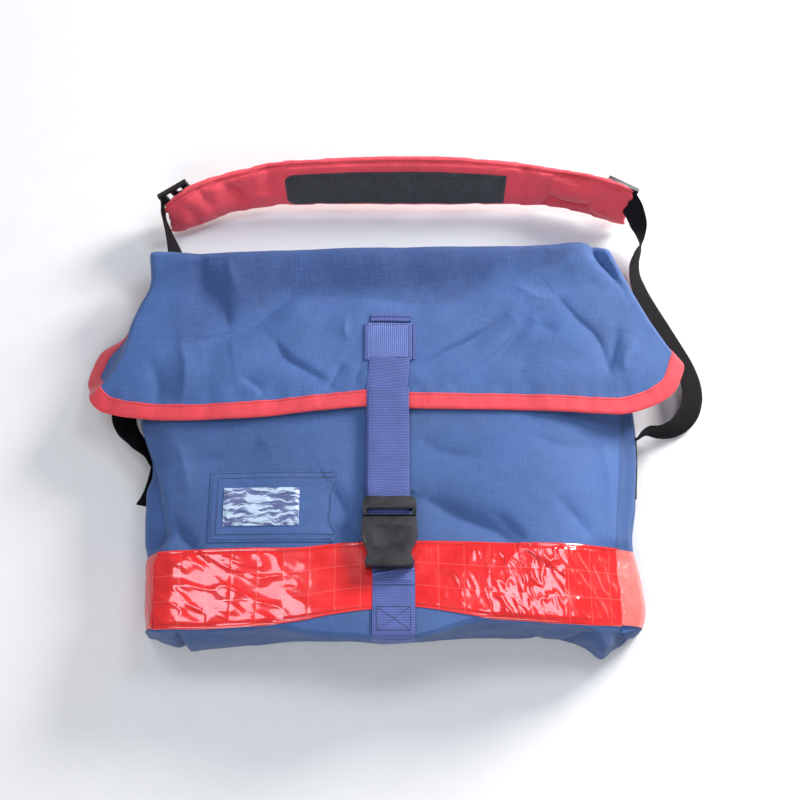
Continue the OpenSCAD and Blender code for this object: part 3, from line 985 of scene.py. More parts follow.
def fill_plan(t, s, left, right, foot, low_y, high_y, inset=0, foot_inset=0):
    """x and y at shares t and s between two side lines, a foot line and a level top."""
    y = mix(low_y, high_y, t) + 0 * s
    # The lines depend on each other, so this homes in
    for _ in range(3):
        x = mix(along(left, y) + inset, along(right, y) - inset, s)
        y = mix(along(foot, x) + foot_inset, high_y, t)
    return x, y


def shares(rows, cols):
    return np.linspace(0, 1, rows)[:, None], np.linspace(0, 1, cols)[None]


def make_front():
    t, s = shares(178, 236)
    x, y = fill_plan(t, s, LEFT_SEAM, RIGHT_SEAM, FOOT_SEAM, -188.0, HEM_Y)
    grid = front(x, y)
    cloth = shell("front_cloth", grid, np.stack([x, y], -1), CLOTH_T, navy_front)
    return rest_on(cloth, "bag", "proofed_cloth", "front_panel")


SIDE_STEP = 2.4
SIDE_ROWS = 34


def make_side(name, surface, starts, ends, node, finish=navy_cloth):
    u = np.arange(starts, ends, SIDE_STEP if ends > starts else -SIDE_STEP)
    u = np.append(u, ends)
    v = np.linspace(0, SIDE_FLOOR, SIDE_ROWS)
    u_grid, v_grid = np.meshgrid(u, v, indexing="ij")
    uv = np.stack([u_grid, v_grid], -1)
    piece = shell(name, surface(u_grid, v_grid), uv, CLOTH_T, finish, centre=INSIDE_BAG)
    return rest_on(piece, "bag", "proofed_cloth", node)


BACK_SIZE = (440, 380)


def make_back():
    """The back panel lies on the floor; its seam allowance stands a little proud all round."""
    t, s = shares(96, 112)
    x, y = fill_plan(t, s, LEFT_SIDE, RIGHT_SIDE, FOOT_SIDE, -185.0, 192.0, inset=5, foot_inset=6)
    edge = np.minimum(np.minimum(s, 1 - s) * BACK_SIZE[0], np.minimum(t, 1 - t) * BACK_SIZE[1])
    z = 2.0 + 0.9 * np.abs(cloth_noise(x, y, 55, 60)) + seam_roll(edge, 5, 1.2)
    back = shell("back_cloth", np.stack([x, y, z], -1), np.stack([x, y], -1), 1.7, navy_inside)
    return rest_on(back, "bag", "proofed_cloth", "back_panel")


# The hem's rows as (distance up the bag from the mouth, height over the front)
HEM_ROWS = [(1.0, -1.6), (1.4, -0.4), (0.8, 0.5), (0, 0.9), (-8, 1.0), (-15.4, 0.9), (-16, 0.2)]


def make_hem():
    """The front's mouth is turned over twice and sewn."""
    s = np.linspace(0, 1, 200)
    rows = []
    for off, row_lift in HEM_ROWS:
        row_y = HEM_Y + off
        sampled = np.full(s.shape, min(row_y, HEM_Y))
        x = mix(along(LEFT_SEAM, sampled) + 1.5, along(RIGHT_SEAM, sampled) - 1.5, s)
        pucker = 0.25 * noise(x / 7, sampled / 9, 61) * (1 if row_lift > 0.6 else 0)
        rows.append(np.stack([x, np.full(s.shape, row_y), front_z(x, sampled) + row_lift + pucker], -1))
    grid = np.array(rows)[::-1]
    hem = shell("mouth_hem_cloth", grid, grid[..., :2], 0.8, navy_cloth)
    rest_on(hem, "bag", "proofed_cloth", "mouth_hem")
    line = [(x, HEM_Y - 13) for x in np.linspace(-226, 200, 60)]
    sewn = stitches("mouth_hem_stitching", [line_on(front, line, 1.1)], navy_thread)
    rest_on(sewn, "bag", "proofed_cloth")


make_front()
make_side("left_side_cloth", left_side, 192, -188, "left_gusset")
make_side("right_side_cloth", right_side, -184, 192, "right_gusset")
make_side("base_cloth", base_side, -225, 227, "base_panel", shaded_navy_base)
make_back()
make_hem()

# ---- the reflective band ----

BAND_TOP = [(-212, -115), (-173, -114), (-125, -113), (-83, -113), (-56, -110), (-25, -107), (23, -106),
            (91, -107), (154, -108), (206, -106)]
BAND_LOW = [(-212, -186), (-169, -187), (-134, -185.5), (-81, -181), (-55, -176), (-16, -171), (20, -169),
            (51, -173), (83, -178), (115, -180), (167, -182), (206, -178)]


def band_relief(u, v, x):
    """Height of the film over the cloth: u along the band, v from its top edge, in cells."""
    across = np.abs((u / CELL) % 1 - 0.5) * 2
    up = np.abs(v % 1 - 0.5) * 2
    puffed = (1 - across**6) * (1 - up**6)
    busy = 0.15 + 0.85 * np.maximum(ramp(-x, 40, 140), ramp(x, 10, 110) * (1 - 0.45 * ramp(x, 186, 200)))
    y = v * 24
    left = 1 - np.abs(cloth_noise(x, y, 71, 17, 3.0, 0.5))
    right = 1 - np.abs(cloth_noise(x, y, 73, 11, 2.8, 1.25))
    crinkle = np.where(x < 0, left, right) ** 3
    slack = cloth_noise(x, y, 76, 24, 1.6, 0.2)
    return 1.0 + puffed * 0.06 + (0.75 + 0.25 * puffed) * busy * (0.85 * crinkle + 0.8 * slack)


# Where the band is sewn, as a share of its height in from each edge
BAND_SEAM = 0.045


def make_band():
    x = np.linspace(-212, 206, 420)
    middle = front(x, (along(BAND_TOP, x) + along(BAND_LOW, x)) / 2)
    run = run_of(middle)
    u = run - np.interp(64, x, run)
    share = np.linspace(0, 1, 73)
    x_grid, share_grid = np.meshgrid(x, share)
    u_grid = np.broadcast_to(u, x_grid.shape)
    y_grid = mix(along(BAND_LOW, x_grid), along(BAND_TOP, x_grid), share_grid)
    v_grid = (1 - share_grid) * BAND_ROWS
    lift = np.maximum(band_relief(u_grid, v_grid, x_grid), 0.7)
    edge = np.minimum(share_grid, 1 - share_grid) * 72
    lift = mix(0.75 + 0.35 * np.exp(-((edge - 1.4) / 0.9) ** 2), lift, ramp(edge, 2.6, 5.5))
    grid = lifted(front, x_grid, y_grid, lift)
    uv = np.stack([u_grid, v_grid * CELL], -1)
    band = shell("reflective_band_film", grid, uv, 0.7, red_vinyl, sharp=70)
    rest_on(band, "bag", "reflective_vinyl", "reflective_band")

    def at(a, s):
        return a, mix(along(BAND_LOW, a), along(BAND_TOP, a), s)

    rows = [[at(a, s) for a in np.linspace(-211, 205, 160)] for s in (BAND_SEAM, 1 - BAND_SEAM)]
    rows += [[at(a, s) for s in (0.02, 0.98)] for a in (204.5, -210.5)]
    sewn = stitches("reflective_band_stitching", [line_on(front, r, 1.0) for r in rows], red_thread,
                    pitch=2.8, long=1.9, radius=0.26)
    rest_on(sewn, "bag", "reflective_vinyl")


WRAP_END = 60


def make_band_wrap(name, surface, y_top, y_low, finish, seed, crinkled):
    """The band goes on round the side, as far down it as WRAP_END."""
    y = np.linspace(y_low, y_top, 72)
    v = np.linspace(-0.5, WRAP_END, 60)
    v_grid, y_grid = np.meshgrid(v, y)
    relief = 1 - np.abs(cloth_noise(v_grid, y_grid, seed, 12, 2.0, 0.5))
    edge = np.minimum(np.abs(y_grid - y_low), np.abs(y_grid - y_top))
    lift = 0.9 + ramp(edge, 1, 5) * (0.4 + crinkled * relief**3)
    lift = np.where(v_grid < 3, np.minimum(lift, 1.2), lift)
    grid = surface(y_grid, np.maximum(v_grid, 0.0))
    grid = grid + outward(grid, INSIDE_BAG) * lift[..., None]
    uv = np.stack([v_grid, y_grid - y_top], -1)
    film = shell(name + "_film", grid, uv, 0.7, finish, sharp=70, centre=INSIDE_BAG)
    rest_on(film, "bag", "reflective_vinyl", name)


make_band()
make_band_wrap("band_left_wrap", left_side, -115.5, -185.5, dull_vinyl, 81, 0.5)
make_band_wrap("band_right_wrap", right_side, -107, -177, lit_pale_vinyl, 84, 0.25)

# ---- the card pocket and its window ----

# As (low x, high x, low y, high y)
POCKET = (-167, -53, -107.5, -39)
WINDOW = (-154, -85, -92.5, -56)
POCKET_H = 69
# How far in the pocket's second row of stitches runs
POCKET_INNER = 7.0


def pocket_height(x, y):
    """The pocket is a second cloth sewn on three sides; its open side waves."""
    low_x, high_x, low_y, high_y = POCKET
    inside = (ramp(x, low_x, low_x + 9) * ramp(-x, -high_x - 2, -high_x + 3)
              * ramp(y, low_y, low_y + 9) * ramp(-y, -high_y, -high_y + 9))
    return front_z(x, y) + 0.9 + inside * (0.6 + 0.5 * cloth_noise(x, y, 91, 22, 1.5))


pocket_z = Heights(pocket_height, (-180, -40), (-120, -28), 1.0)


def pocket(x, y):
    return np.stack([x, y, pocket_z(x, y)], -1)


def pocket_wave(y):
    """How the pocket's open side waves to and fro."""
    return 2.6 * np.sin((y - POCKET[2]) / POCKET_H * TAU * 1.25 + 1.2) + 1.2 * np.sin(y / 4.3)


def pocket_row(inset):
    """Three sides of the pocket, starting and ending at its open side."""
    low_x, high_x, low_y, high_y = POCKET
    return [(high_x - 1, high_y - inset), (low_x + inset, high_y - inset),
            (low_x + inset, low_y + inset), (high_x - 1, low_y + inset)]


def make_pocket():
    low_x, high_x, low_y, high_y = POCKET
    s = np.linspace(0, 1, 96)
    y = np.linspace(low_y, high_y, 60)
    s_grid, y_grid = np.meshgrid(s, y)
    calm = np.minimum(ramp(y_grid, low_y, low_y + 8), ramp(-y_grid, -high_y, -high_y + 8))
    open_side = high_x + pocket_wave(y_grid) * calm
    x_grid = mix(low_x, open_side, s_grid)
    grid = pocket(x_grid, y_grid)
    grid[..., 2] += 1.1 * ramp(s_grid, 0.955, 0.99) * (0.6 + 0.4 * np.sin(y_grid / 6))
    cloth = shell("pocket_cloth", grid, np.stack([x_grid, y_grid], -1), 0.8, navy_cloth)
    rest_on(cloth, "bag", "proofed_cloth", "id_pocket")
    # Two rows of stitches, short bars that lock their ends, and the open side's hem
    bar_y = (high_y - 2.6, high_y - POCKET_INNER + 0.5, low_y + 2.6, low_y + POCKET_INNER - 0.5)
    bars = [[(high_x - 12, y0), (high_x, y0)] for y0 in bar_y]
    lines = [line_on(pocket, row, 0.2) for row in [pocket_row(2), pocket_row(POCKET_INNER)] + bars]
    hem_y = np.linspace(low_y + 4, high_y - 4, 40)
    lines.append(line_on(pocket, np.stack([high_x - 2.5 + pocket_wave(hem_y), hem_y], 1), 0.9))
    sewn = stitches("pocket_stitching", lines, black_thread, pitch=2.7, long=1.9, radius=0.27)
    rest_on(sewn, "bag", "proofed_cloth")


def make_window():
    low_x, high_x, low_y, high_y = WINDOW
    x = np.linspace(low_x, high_x, 140)
    y = np.linspace(low_y, high_y, 80)
    x_grid, y_grid = np.meshgrid(x, y)
    waves = 1 - np.abs(cloth_noise(x_grid, y_grid, 95, 7.5, 4.2, 0.12))
    edge = from_rim(x_grid, y_grid, WINDOW)
    lift = 0.75 + ramp(edge, 0, 4) * (0.25 + 1.15 * waves**2 + 0.35 * cloth_noise(x_grid, y_grid, 97, 14))
    grid = lifted(pocket, x_grid, y_grid, lift)
    film = shell("pocket_window_film", grid, np.stack([x_grid, y_grid], -1), 0.3, clear_film, sharp=70)
    rest_on(film, "bag", "clear_vinyl", "id_window")


make_pocket()
make_window()

# ---- the flap: drawn flat, then laid over the bag with its two sides turned down ----

# Where the flap turns down at each side, and the line of its fold
LEFT_RIDGE = [(18, -291), (32, -286), (47, -277), (58, -268), (70, -260), (85, -254), (101, -250),
              (113, -247), (136, -238), (152, -230), (185, -230), (215, -230)]
RIGHT_RIDGE = [(18, 330), (44, 298), (60, 283), (72, 272), (84, 262), (95, 254), (109, 245), (135, 231),
               (165, 217), (184, 207), (215, 200)]
FOLD_LINE = [(-252, 185), (-237, 187), (-196, 185), (-143, 187), (-80, 190), (26, 192), (155, 195),
             (190, 197), (202, 194), (216, 184), (230, 176)]
# The radius of the fold, and how far round it the cloth goes
FOLD_R = 7.0
FOLD_TURN = math.radians(96)
FLAP_OUTLINE = [(-262, 211), (-263, 190), (-264, 160), (-270, 137), (-283, 114), (-297, 100), (-306, 83),
                (-309, 62), (-291.5, 42.5), (-279, 28.5), (-262, 21.5), (-240, 16.5), (-215, 13.5),
                (-180, 12), (-128, 14), (-75, 19.5), (-25, 24.5), (17, 23), (60, 22.5), (100, 22),
                (156, 20.5), (205, 19.5), (220, 21), (238, 27), (254, 35), (267, 46), (274, 61),
                (279, 75), (286, 89), (288, 106),
                (282, 126), (270, 147), (256, 168), (246, 186), (238, 211)]
# The outline's points from the left corner to the right one, along its lower edge
FLAP_LOWER = FLAP_OUTLINE[9:23]
# How far over the plain front the flap lies
FLAP_GAP = 4.4
# The flap's folds, as (route, height, reach left, reach right, taper, power)
FLAP_FOLDS = [
    # The long valley, and the crease inside it
    ([(176, 184), (122, 160), (88, 145), (43, 134), (-20, 139), (-75, 142), (-107, 135),
      (-130, 115), (-156, 102), (-178, 92), (-208, 92)], -6.0, 24, 46, 0.35, 1.2),
    ([(-99, 139), (-112, 130), (-134, 112), (-160, 100), (-186, 94)], -3.4, 12, 5, 0.4, 1.0),
    ([(-186, 178), (-180, 153), (-163, 128), (-158, 104)], -5.0, 9, 30, 0.5, 1.1),
    ([(-160, 176), (-156, 158), (-150, 148)], 1.8, 7, 9),
    ([(-198, 30), (-196, 62), (-203, 92)], 2.6, 6, 18, 0.5, 1.0),
    ([(-232, 74), (-222, 52), (-222, 30)], -2.4, 10, 16),
    ([(-112, 92), (-100, 74), (-82, 62), (-64, 50)], -3.0, 2.5, 16, 0.5, 1.0),
    ([(-62, 40), (-57, 50), (-48, 68)], -2.4, 3, 12, 0.5, 1.0),
    ([(-122, 34), (-128, 44), (-142, 54)], -2.2, 2.5, 9, 0.5, 1.0),
    ([(-36, 44), (-34, 56), (-28, 68)], -1.2, 4, 7),
    ([(-44, 116), (-46, 104), (-43, 92)], 1.3, 4, 5),
    # Slanting folds to the right of the closure
    ([(18, 56), (44, 76), (84, 100), (112, 122)], -3.8, 3.5, 22, 0.5, 1.0),
    ([(50, 40), (84, 66), (104, 84), (132, 120)], -4.6, 4, 22, 0.5, 1.0),
    ([(88, 34), (116, 58), (130, 82)], -1.2, 8, 12),
    ([(158, 140), (176, 116), (196, 94), (206, 56)], -2.4, 4, 15, 0.5, 1.0),
    ([(216, 108), (210, 84), (204, 62)], -2.6, 5, 9),
    ([(232, 96), (220, 78), (218, 60)], 2.2, 6, 9),
    ([(136, 112), (147, 106), (156, 100)], -1.7, 9, 9),
    ([(118, 152), (140, 138), (160, 140)], 1.2, 5, 8),
    # The corner of the fold is knocked in
    ([(190, 200), (197, 184), (212, 165), (216, 156)], -7.0, 9, 5, 0.4),
    ([(206, 192), (216, 176), (224, 164)], 3.0, 5, 5),
]


def flap_height(x, y):
    """The flap's height over its flat drawing, between its two ridges."""
    inside = np.clip(x, -300, 300)
    z = plan_z(inside, y) + FLAP_GAP + 4.0 * ramp(y, 24, 62)
    # The fold stands up as a low ridge
    z = z + 8.0 * ramp(y, 144, 186)
    z = folded(z, x, y, FLAP_FOLDS)
    # Puckers along the binding, and the cloth's own unevenness
    near = along(FLAP_LOWER, np.clip(x, -262, 240))
    z = z + 1.1 * bump(y, near + 22, 13) * noise(x / 15, y / 40, 121)
    z = z + 2.2 * cloth_noise(x, y, 111, 90) + 1.0 * cloth_noise(x, y, 113, 36, 1.7, 0.75)
    z = z + 0.3 * cloth_noise(x, y, 117, 12, 1.9, 0.7)
    # It lies on the front and on the mouth's hem
    under = front_z(x, y) + 1.6 + 1.8 * bump(y, HEM_Y - 7, 14) - 6 * ramp(y, HEM_Y + 3, HEM_Y + 12)
    return under + np.logaddexp(0, z - under)


flap_z = Heights(flap_height, (-305, 300), (5, 215), 1.5)


BEND_REACH = 54
BEND_STEP = 0.25


def bend_profile(angle_at):
    """How far out and down cloth goes when its slope follows angle_at, in degrees, by distance."""
    e = np.arange(0, BEND_REACH, BEND_STEP)
    angle = np.radians(along(angle_at, e))
    out = np.concatenate([[0], np.cumsum(np.cos(angle) * BEND_STEP)])[:-1]
    down = np.concatenate([[0], np.cumsum(np.sin(angle) * BEND_STEP)])[:-1]
    return e, out, down


# The left wing flares out where it is open and hangs where it is shut, as the right one does
FLARED = bend_profile([(0, 0), (2.5, 35), (6, 62), (15, 62), (22, 44), (30, 36), (54, 32)])
TURNED = bend_profile([(0, 0), (4, 35), (10, 80), (16, 92), (24, 92), (54, 92)])


def turned_down(e, profile):
    at, out, down = profile
    return np.interp(e, at, out), np.interp(e, at, down)


def flap(x, y):
    """Where a point of the flat flap lies."""
    x, y = np.asarray(x, float), np.asarray(y, float)
    left, right = along(LEFT_RIDGE, y), along(RIGHT_RIDGE, y)
    on_top = np.clip(x, left, right)
    past_left, past_right = np.maximum(left - x, 0), np.maximum(x - right, 0)
    starts = along(FOLD_LINE, on_top) - FOLD_R
    over = np.maximum(y - starts, 0)
    turn = np.clip(over / FOLD_R, 0, FOLD_TURN)
    drop = np.maximum(over - FOLD_R * FOLD_TURN, 0)
    z = flap_z(on_top, np.minimum(y, starts)) - FOLD_R * (1 - np.cos(turn)) - drop
    out_y = np.minimum(y, starts) + FOLD_R * np.sin(turn) - 0.1 * drop
    open_out, open_down = turned_down(past_left, FLARED)
    shut_out, shut_down = turned_down(past_left, TURNED)
    shut = ramp(y, 94, 122)
    wing = ramp(y, 28, 58)
    open_out = mix(past_left, open_out, wing)
    open_down = mix(0.3 * past_left, open_down, wing)
    right_out, right_down = turned_down(past_right, TURNED)
    out_x = on_top - mix(open_out, shut_out, shut) + right_out
    return np.stack([out_x, out_y, z - mix(open_down, shut_down, shut) - right_down], -1)


def make_flap():
    count = 470
    outline = spline(FLAP_OUTLINE, count)
    top_x = mix(outline[0, 0], outline[-1, 0], np.linspace(0, 1, count))
    top = np.stack([top_x, np.full(count, outline[0, 1])], 1)
    rows = np.linspace(0, 1, 100)[:, None, None]
    plan = mix(outline[None], top[None], rows)[:, 1:-1]
    grid = flap(plan[..., 0], plan[..., 1])
    cloth = shell("flap_cloth", grid, plan, CLOTH_T, navy_flap)
    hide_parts("flap_panel")
    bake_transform(cloth)


# Where the flap ends in its flat drawing, and how far the top panel reaches inside it
FLAP_END = 211.0
TUCKED_IN = 7.0


def make_top_panel():
    """The low wall behind the fold, sewn inside the flap's turned-down end."""
    x = np.linspace(along(LEFT_SIDE, 194.0) + 2, along(RIGHT_SIDE, 194.0) - 2, 170)
    share = np.linspace(0, 1, 30)
    x_grid, share_grid = np.meshgrid(x, share)
    sewn = flap(x, np.full(len(x), FLAP_END - TUCKED_IN))
    z = mix(sewn[:, 2], 0.9, share_grid)
    below = ramp(sewn[:, 2] - z, TUCKED_IN, TUCKED_IN + 16)
    y = mix(sewn[:, 1] - 2.3 - 0.1 * (sewn[:, 2] - z), 191.0, below)
    y = y + below * (1.6 * np.sin(share_grid * math.pi) + 0.7 * cloth_noise(x_grid, z, 51, 32, 1.5))
    # Its ends turn forward into the side walls
    middle, reach = (x[0] + x[-1]) / 2, (x[-1] - x[0]) / 2
    y = y - 9 * ramp(np.abs(x_grid - middle) / reach, 0.955, 1.0) ** 2
    grid = np.stack([x_grid, y, z], -1)[:, ::-1]
    uv = np.stack([x_grid, z], -1)[:, ::-1]
    cloth = shell("top_cloth", grid, uv, CLOTH_T, navy_cloth, centre=INSIDE_BAG)
    return rest_on(cloth, "bag", "proofed_cloth", "top_panel")


# The tape's outline round the flap's edge, as (distance in from the edge, height over the cloth)
BINDING = [(15.5, 0.15), (15.2, 0.75), (14.2, 1.0), (13.2, 0.85), (12.2, 1.05), (9.5, 1.15), (6.5, 1.15),
           (3.5, 1.1), (1.2, 0.95), (0.0, 0.45), (-0.7, -0.5), (0.0, -1.6), (1.4, -2.2), (6.5, -2.4),
           (12.5, -2.3), (15.2, -2.0), (15.4, -1.3)]


BINDING_RUN = 880
BINDING_SEAM = 13.2


def make_binding():
    path = spline(FLAP_OUTLINE[1:-1], 520)
    inward = inward_of(path)
    run = np.linspace(0, BINDING_RUN, len(path))
    wave = 0.5 * noise(run / 26, run * 0 + 0.5, 131) + 0.3 * noise(run / 9, run * 0 + 0.5, 133)
    shape = np.array(BINDING)
    depth = shape[None, :, 0] + wave[:, None] * np.linspace(1, -0.5, len(shape))[None]
    lift = shape[None, :, 1] + 0.22 * noise(run / 8, run * 0 + 2.5, 135)[:, None] * (shape[None, :, 1] > 0.5)
    flat = path[:, None] + inward[:, None] * depth[..., None]
    rings = lifted(flap, flat[..., 0], flat[..., 1], lift)
    uv = np.stack(np.broadcast_arrays(run_of(shape)[None], run[:, None]), -1)
    tape = sweep("flap_binding_tape", rings, uv, red_tape)
    rest_on(tape, "flap", "binding_tape", "flap_binding")
    row = path + inward * BINDING_SEAM
    line = lifted(flap, row[:, 0], row[:, 1], np.full(len(row), 0.95))
    sewn = stitches("flap_binding_stitching", [line], red_thread, pitch=3.0, long=2.1, radius=0.27)
    rest_on(sewn, "flap", "binding_tape")


make_flap()
make_top_panel()
make_binding()

# ---- the closure: anchor patch, strap, buckle and lower strap ----


ANCHOR_Y = 89.7
ANCHOR_LONG = 39.5


def make_anchor():
    """The patch that the strap is sewn on with, its two rails and the folded bars above it."""
    across = [(x, ANCHOR_Y) for x in (-23.5, -3, 17.5)]
    patch = tape_on("strap_anchor_webbing", flap, across, ANCHOR_LONG, 1.5, 0.3, navy_patch)
    rest_on(patch, "flap", "navy_webbing", "strap_anchor_patch")
    for side, x in (("left", -25.4), ("right", 19.6)):
        route = [(x, 70.5), (x + 0.3, 90), (x, 109)]
        rail = tape_on("strap_anchor_rail_" + side, flap, route, 3.0, 1.7, 0.4, navy_web)
        rest_on(rail, "flap", "navy_webbing")
    for k, (y, wide) in enumerate(((113.0, 37.5), (117.6, 37.0))):
        route = [(-2 - wide / 2, y), (-2, y + 0.3), (-2 + wide / 2, y)]
        bar = tape_on("strap_fold_bar_" + str(k + 1), flap, route, 4.4, 2.0, 0.4, navy_web, count=30)
        rest_on(bar, "flap", "navy_webbing", *(["strap_fold_bar"] if k == 0 else []))
    box = [(-21.5, 72.5), (15.5, 72.5), (15.5, 107.5), (-21.5, 107.5), (-21.5, 72.5)]
    dark = [line_on(flap, box, 1.9), line_on(flap, [(-20, 115.3), (16, 115.3)], 1.5)]
    sewn = stitches("strap_anchor_stitching", dark, navy_thread, pitch=2.6, long=1.9, radius=0.28)
    rest_on(sewn, "flap", "navy_webbing")


BUCKLE_TILT = -math.atan(SLOPE)
BUCKLE_AT = np.array([BUCKLE[0], BUCKLE[1], mid_z(BUCKLE[1])])


def at_buckle(points):
    """From the buckle's own frame (y = 0 at the receptacle's mouth) to the bag's."""
    p = np.asarray(points, float)
    c, s = math.cos(BUCKLE_TILT), math.sin(BUCKLE_TILT)
    turned = np.stack([p[..., 0], c * p[..., 1] - s * p[..., 2], s * p[..., 1] + c * p[..., 2]], -1)
    return turned + BUCKLE_AT


def bunch(webbing, node):
    """Stands for a CAD node, which it hides, and keeps the webbing where it was made."""
    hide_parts(node)
    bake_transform(webbing)


# The strap's way down: (x, y, height) over the flap, (y, height) over the front, then (y, z)
# in the buckle's own frame
OVER_FLAP = [(-3, 72, 1.9), (-4.2, 56, 1.5), (-5.4, 42, 2.6), (-5.6, 30, 2.6), (-5.6, 21, 2.4)]
OVER_FRONT = [(6, 4.6), (-14, 4.0), (-36, 4.4), (-54, 5.4)]
INTO_PLUG = [(16, 7.2), (9, 7.0), (4, 6.2), (0, 4.6)]


def make_strap():
    """The strap from the patch to the plug, and its tail lying on top."""
    route = [tuple(flap(np.array(x), np.array(y)) + [0, 0, h]) for x, y, h in OVER_FLAP]
    route += [(-5.4, y, mid_z(y) + h) for y, h in OVER_FRONT]
    route += [tuple(at_buckle((-1.4, y, z))) for y, z in INTO_PLUG]
    lower = ribbon("closure_strap_webbing", route, [90, 90], STRAP_W, WEB_T, navy_web, 200)
    bunch(lower, "closure_strap")
    upper_route = [(x + 1.7, y, z + 1.65) for x, y, z in route[2:-3]]
    upper_route[0] = (upper_route[0][0], upper_route[0][1], upper_route[0][2] - 1.0)
    upper = ribbon("closure_strap_tail_webbing", upper_route, [90, 90], STRAP_W - 0.5, WEB_T, navy_web, 160)
    bunch(upper, "closure_strap_tail")


def prism(name, outline_xy, low, high):
    """A block from a plan outline, as an object in millimetres."""
    count = len(outline_xy)
    points = [(x, y, z) for z in (low, high) for x, y in outline_xy]
    faces = [list(range(count - 1, -1, -1)), list(range(count, 2 * count))]
    faces += [[k, (k + 1) % count, count + (k + 1) % count, count + k] for k in range(count)]
    mesh = bpy.data.meshes.new(name)
    mesh.from_pydata(points, [], faces)
    obj = new_object(name, mesh)
    face_outward(obj)
    return obj


def moulding(name, block, cutters, bevel, place):
    """Cuts a block, rounds its edges and puts it in its place."""
    for cutter in cutters:
        cut = block.modifiers.new("cut", "BOOLEAN")
        cut.operation, cut.object, cut.solver = "DIFFERENCE", cutter, "EXACT"
    rounded = block.modifiers.new("round", "BEVEL")
    rounded.width, rounded.segments, rounded.limit_method = bevel, 3, "ANGLE"
    rounded.angle_limit = math.radians(28)
    rounded.use_clamp_overlap = True
    mesh = evaluated(block)
    write_points(mesh, place(read_points(mesh)) * MM)
    for used in [block, *cutters]:
        bpy.data.objects.remove(used)
    dress(mesh, black_acetal)
    mesh.set_sharp_from_angle(angle=math.radians(35))
    return new_object(name, mesh)


def box_cutter(low, high):
    """A block between its lowest and its highest corner."""
    return prism("cutter", [(low[0], low[1]), (high[0], low[1]), (high[0], high[1]), (low[0], high[1])],
                 low[2], high[2])


def mirrored(half):
    """A closed outline from its right half, listed from the top down."""
    return [(-x, y) for x, y in half] + [(x, y) for x, y in reversed(half)]


# Plans in the buckle's own frame: the right half of each, and the right prong
RECEPTACLE = [(23.4, 0), (24.8, -2), (25, -9), (24.8, -18), (23.6, -23), (21.2, -27.5), (19.6, -31),
              (19.3, -34), (20.2, -37.5), (21.4, -40), (21.6, -43.5), (20.6, -45.5), (12, -46.3), (0, -46.6)]
PANEL = [(9, -9), (12, -11), (13, -15), (13, -22), (12, -26), (9, -28)]
PLUG_BAR = [(19, 19.5), (22, 18.8), (23.8, 16.8), (24.4, 13.5), (24.4, 8.5), (24.0, 1.4)]
PRONG = [(12.4, 1.1), (16.4, 1.1), (16.8, -7.0), (22.6, -8.2), (24.9, -10.5), (25.4, -14), (24.9, -18.5),
         (23.2, -21.4), (20.0, -22.0), (18.6, -25.2), (16.0, -26), (13.6, -25.4)]


def make_buckle():
    body = prism("body", mirrored(RECEPTACLE), 1.2, 13)
    # The mouth, a window at each side for the prongs, the slot for the lower strap, a shallow panel
    cutters = [box_cutter((-18.6, -28, 3.6), (18.6, 3, 10.6))]
    cutters += [box_cutter((x, -22.5, 4.0), (x + 13.5, -6.5, 10.2)) for x in (-30, 16.5)]
    cutters.append(box_cutter((-19.2, -40.6, -2), (19.2, -36.2, 9.0)))
    cutters.append(prism("cutter", mirrored(PANEL), 12.65, 20))
    moulded = moulding("buckle_receptacle_body", body, cutters, 0.9, at_buckle)
    rest_on(moulded, "receptacle", "moulded_black", "buckle_receptacle")

    frame_block = prism("body", mirrored(PLUG_BAR), 2.6, 12.4)
    # The opening that the strap goes round its bar through, and the hollow behind the bar
    cutters = [box_cutter((-20.6, 2.2, -2), (20.6, 8.4, 20)),
               box_cutter((-20.6, 8.3, 3.6), (20.6, 16.2, 9.4))]
    arch = moulding("buckle_plug_body", frame_block, cutters, 1.3, at_buckle)
    rest_on(arch, "plug", "moulded_black", "plug_frame")

    for side, name in ((-1, "left"), (1, "right")):
        plan = [(side * x, y) for x, y in PRONG]
        prong = moulding("buckle_prong_" + name, prism("body", plan, 4.5, 9.7), [], 0.7, at_buckle)
        rest_on(prong, "prong_" + name, "moulded_black", "plug_prong_" + name)


LOWER_X = 1.0


def over_front(y, height):
    """A height over the front on the lower strap's middle line."""
    return float(front_z(np.array(LOWER_X), np.array(float(y)))) + height


def make_lower_strap():
    """The strap from the receptacle to the bag's foot, where it is sewn, and its short turned end."""
    ends = [tuple(at_buckle((3.5, y, z))) for y, z in ((-38.5, 5.2), (-42.5, 0.6), (-47.0, 1.0))]
    middle = [(LOWER_X, y, over_front(y, 1.9)) for y in (-138, -146, -156, -168, -180, -190)]
    foot = [(LOWER_X, -196.5, over_front(-190, 0.6)), (LOWER_X, -199.0, 70.0)]
    route = ends + middle + foot
    lower = ribbon("lower_strap_webbing", route, [90, 90], STRAP_W, WEB_T, navy_web, 160)
    rest_on(lower, "bag", "navy_webbing", "lower_strap")
    turned = [(x, y, z + 1.6) for x, y, z in ends[2:] + middle[:2]]
    turned.append((1.0, -148.5, turned[-1][2] - 0.6))
    loop = ribbon("lower_strap_loop_webbing", turned, [90, 90], STRAP_W - 0.3, WEB_T, navy_web, 50)
    rest_on(loop, "bag", "navy_webbing")

    def on_strap(x, y):
        return np.stack([x, y, front_z(np.ones_like(x), y) + 2.75], -1)

    box = [(-14, -169), (16, -169), (16, -191), (-14, -191), (-14, -169), (16, -191)]
    lines = [line_on(on_strap, box, 0.1), line_on(on_strap, [(16, -169), (-14, -191)], 0.1),
             line_on(on_strap, [(-15, -145.5), (17, -145.5)], 1.5)]
    sewn = stitches("lower_strap_stitching", lines, black_thread, pitch=2.4, long=1.8, radius=0.3)
    rest_on(sewn, "bag", "navy_webbing")


make_anchor()
make_strap()
make_buckle()
make_lower_strap()

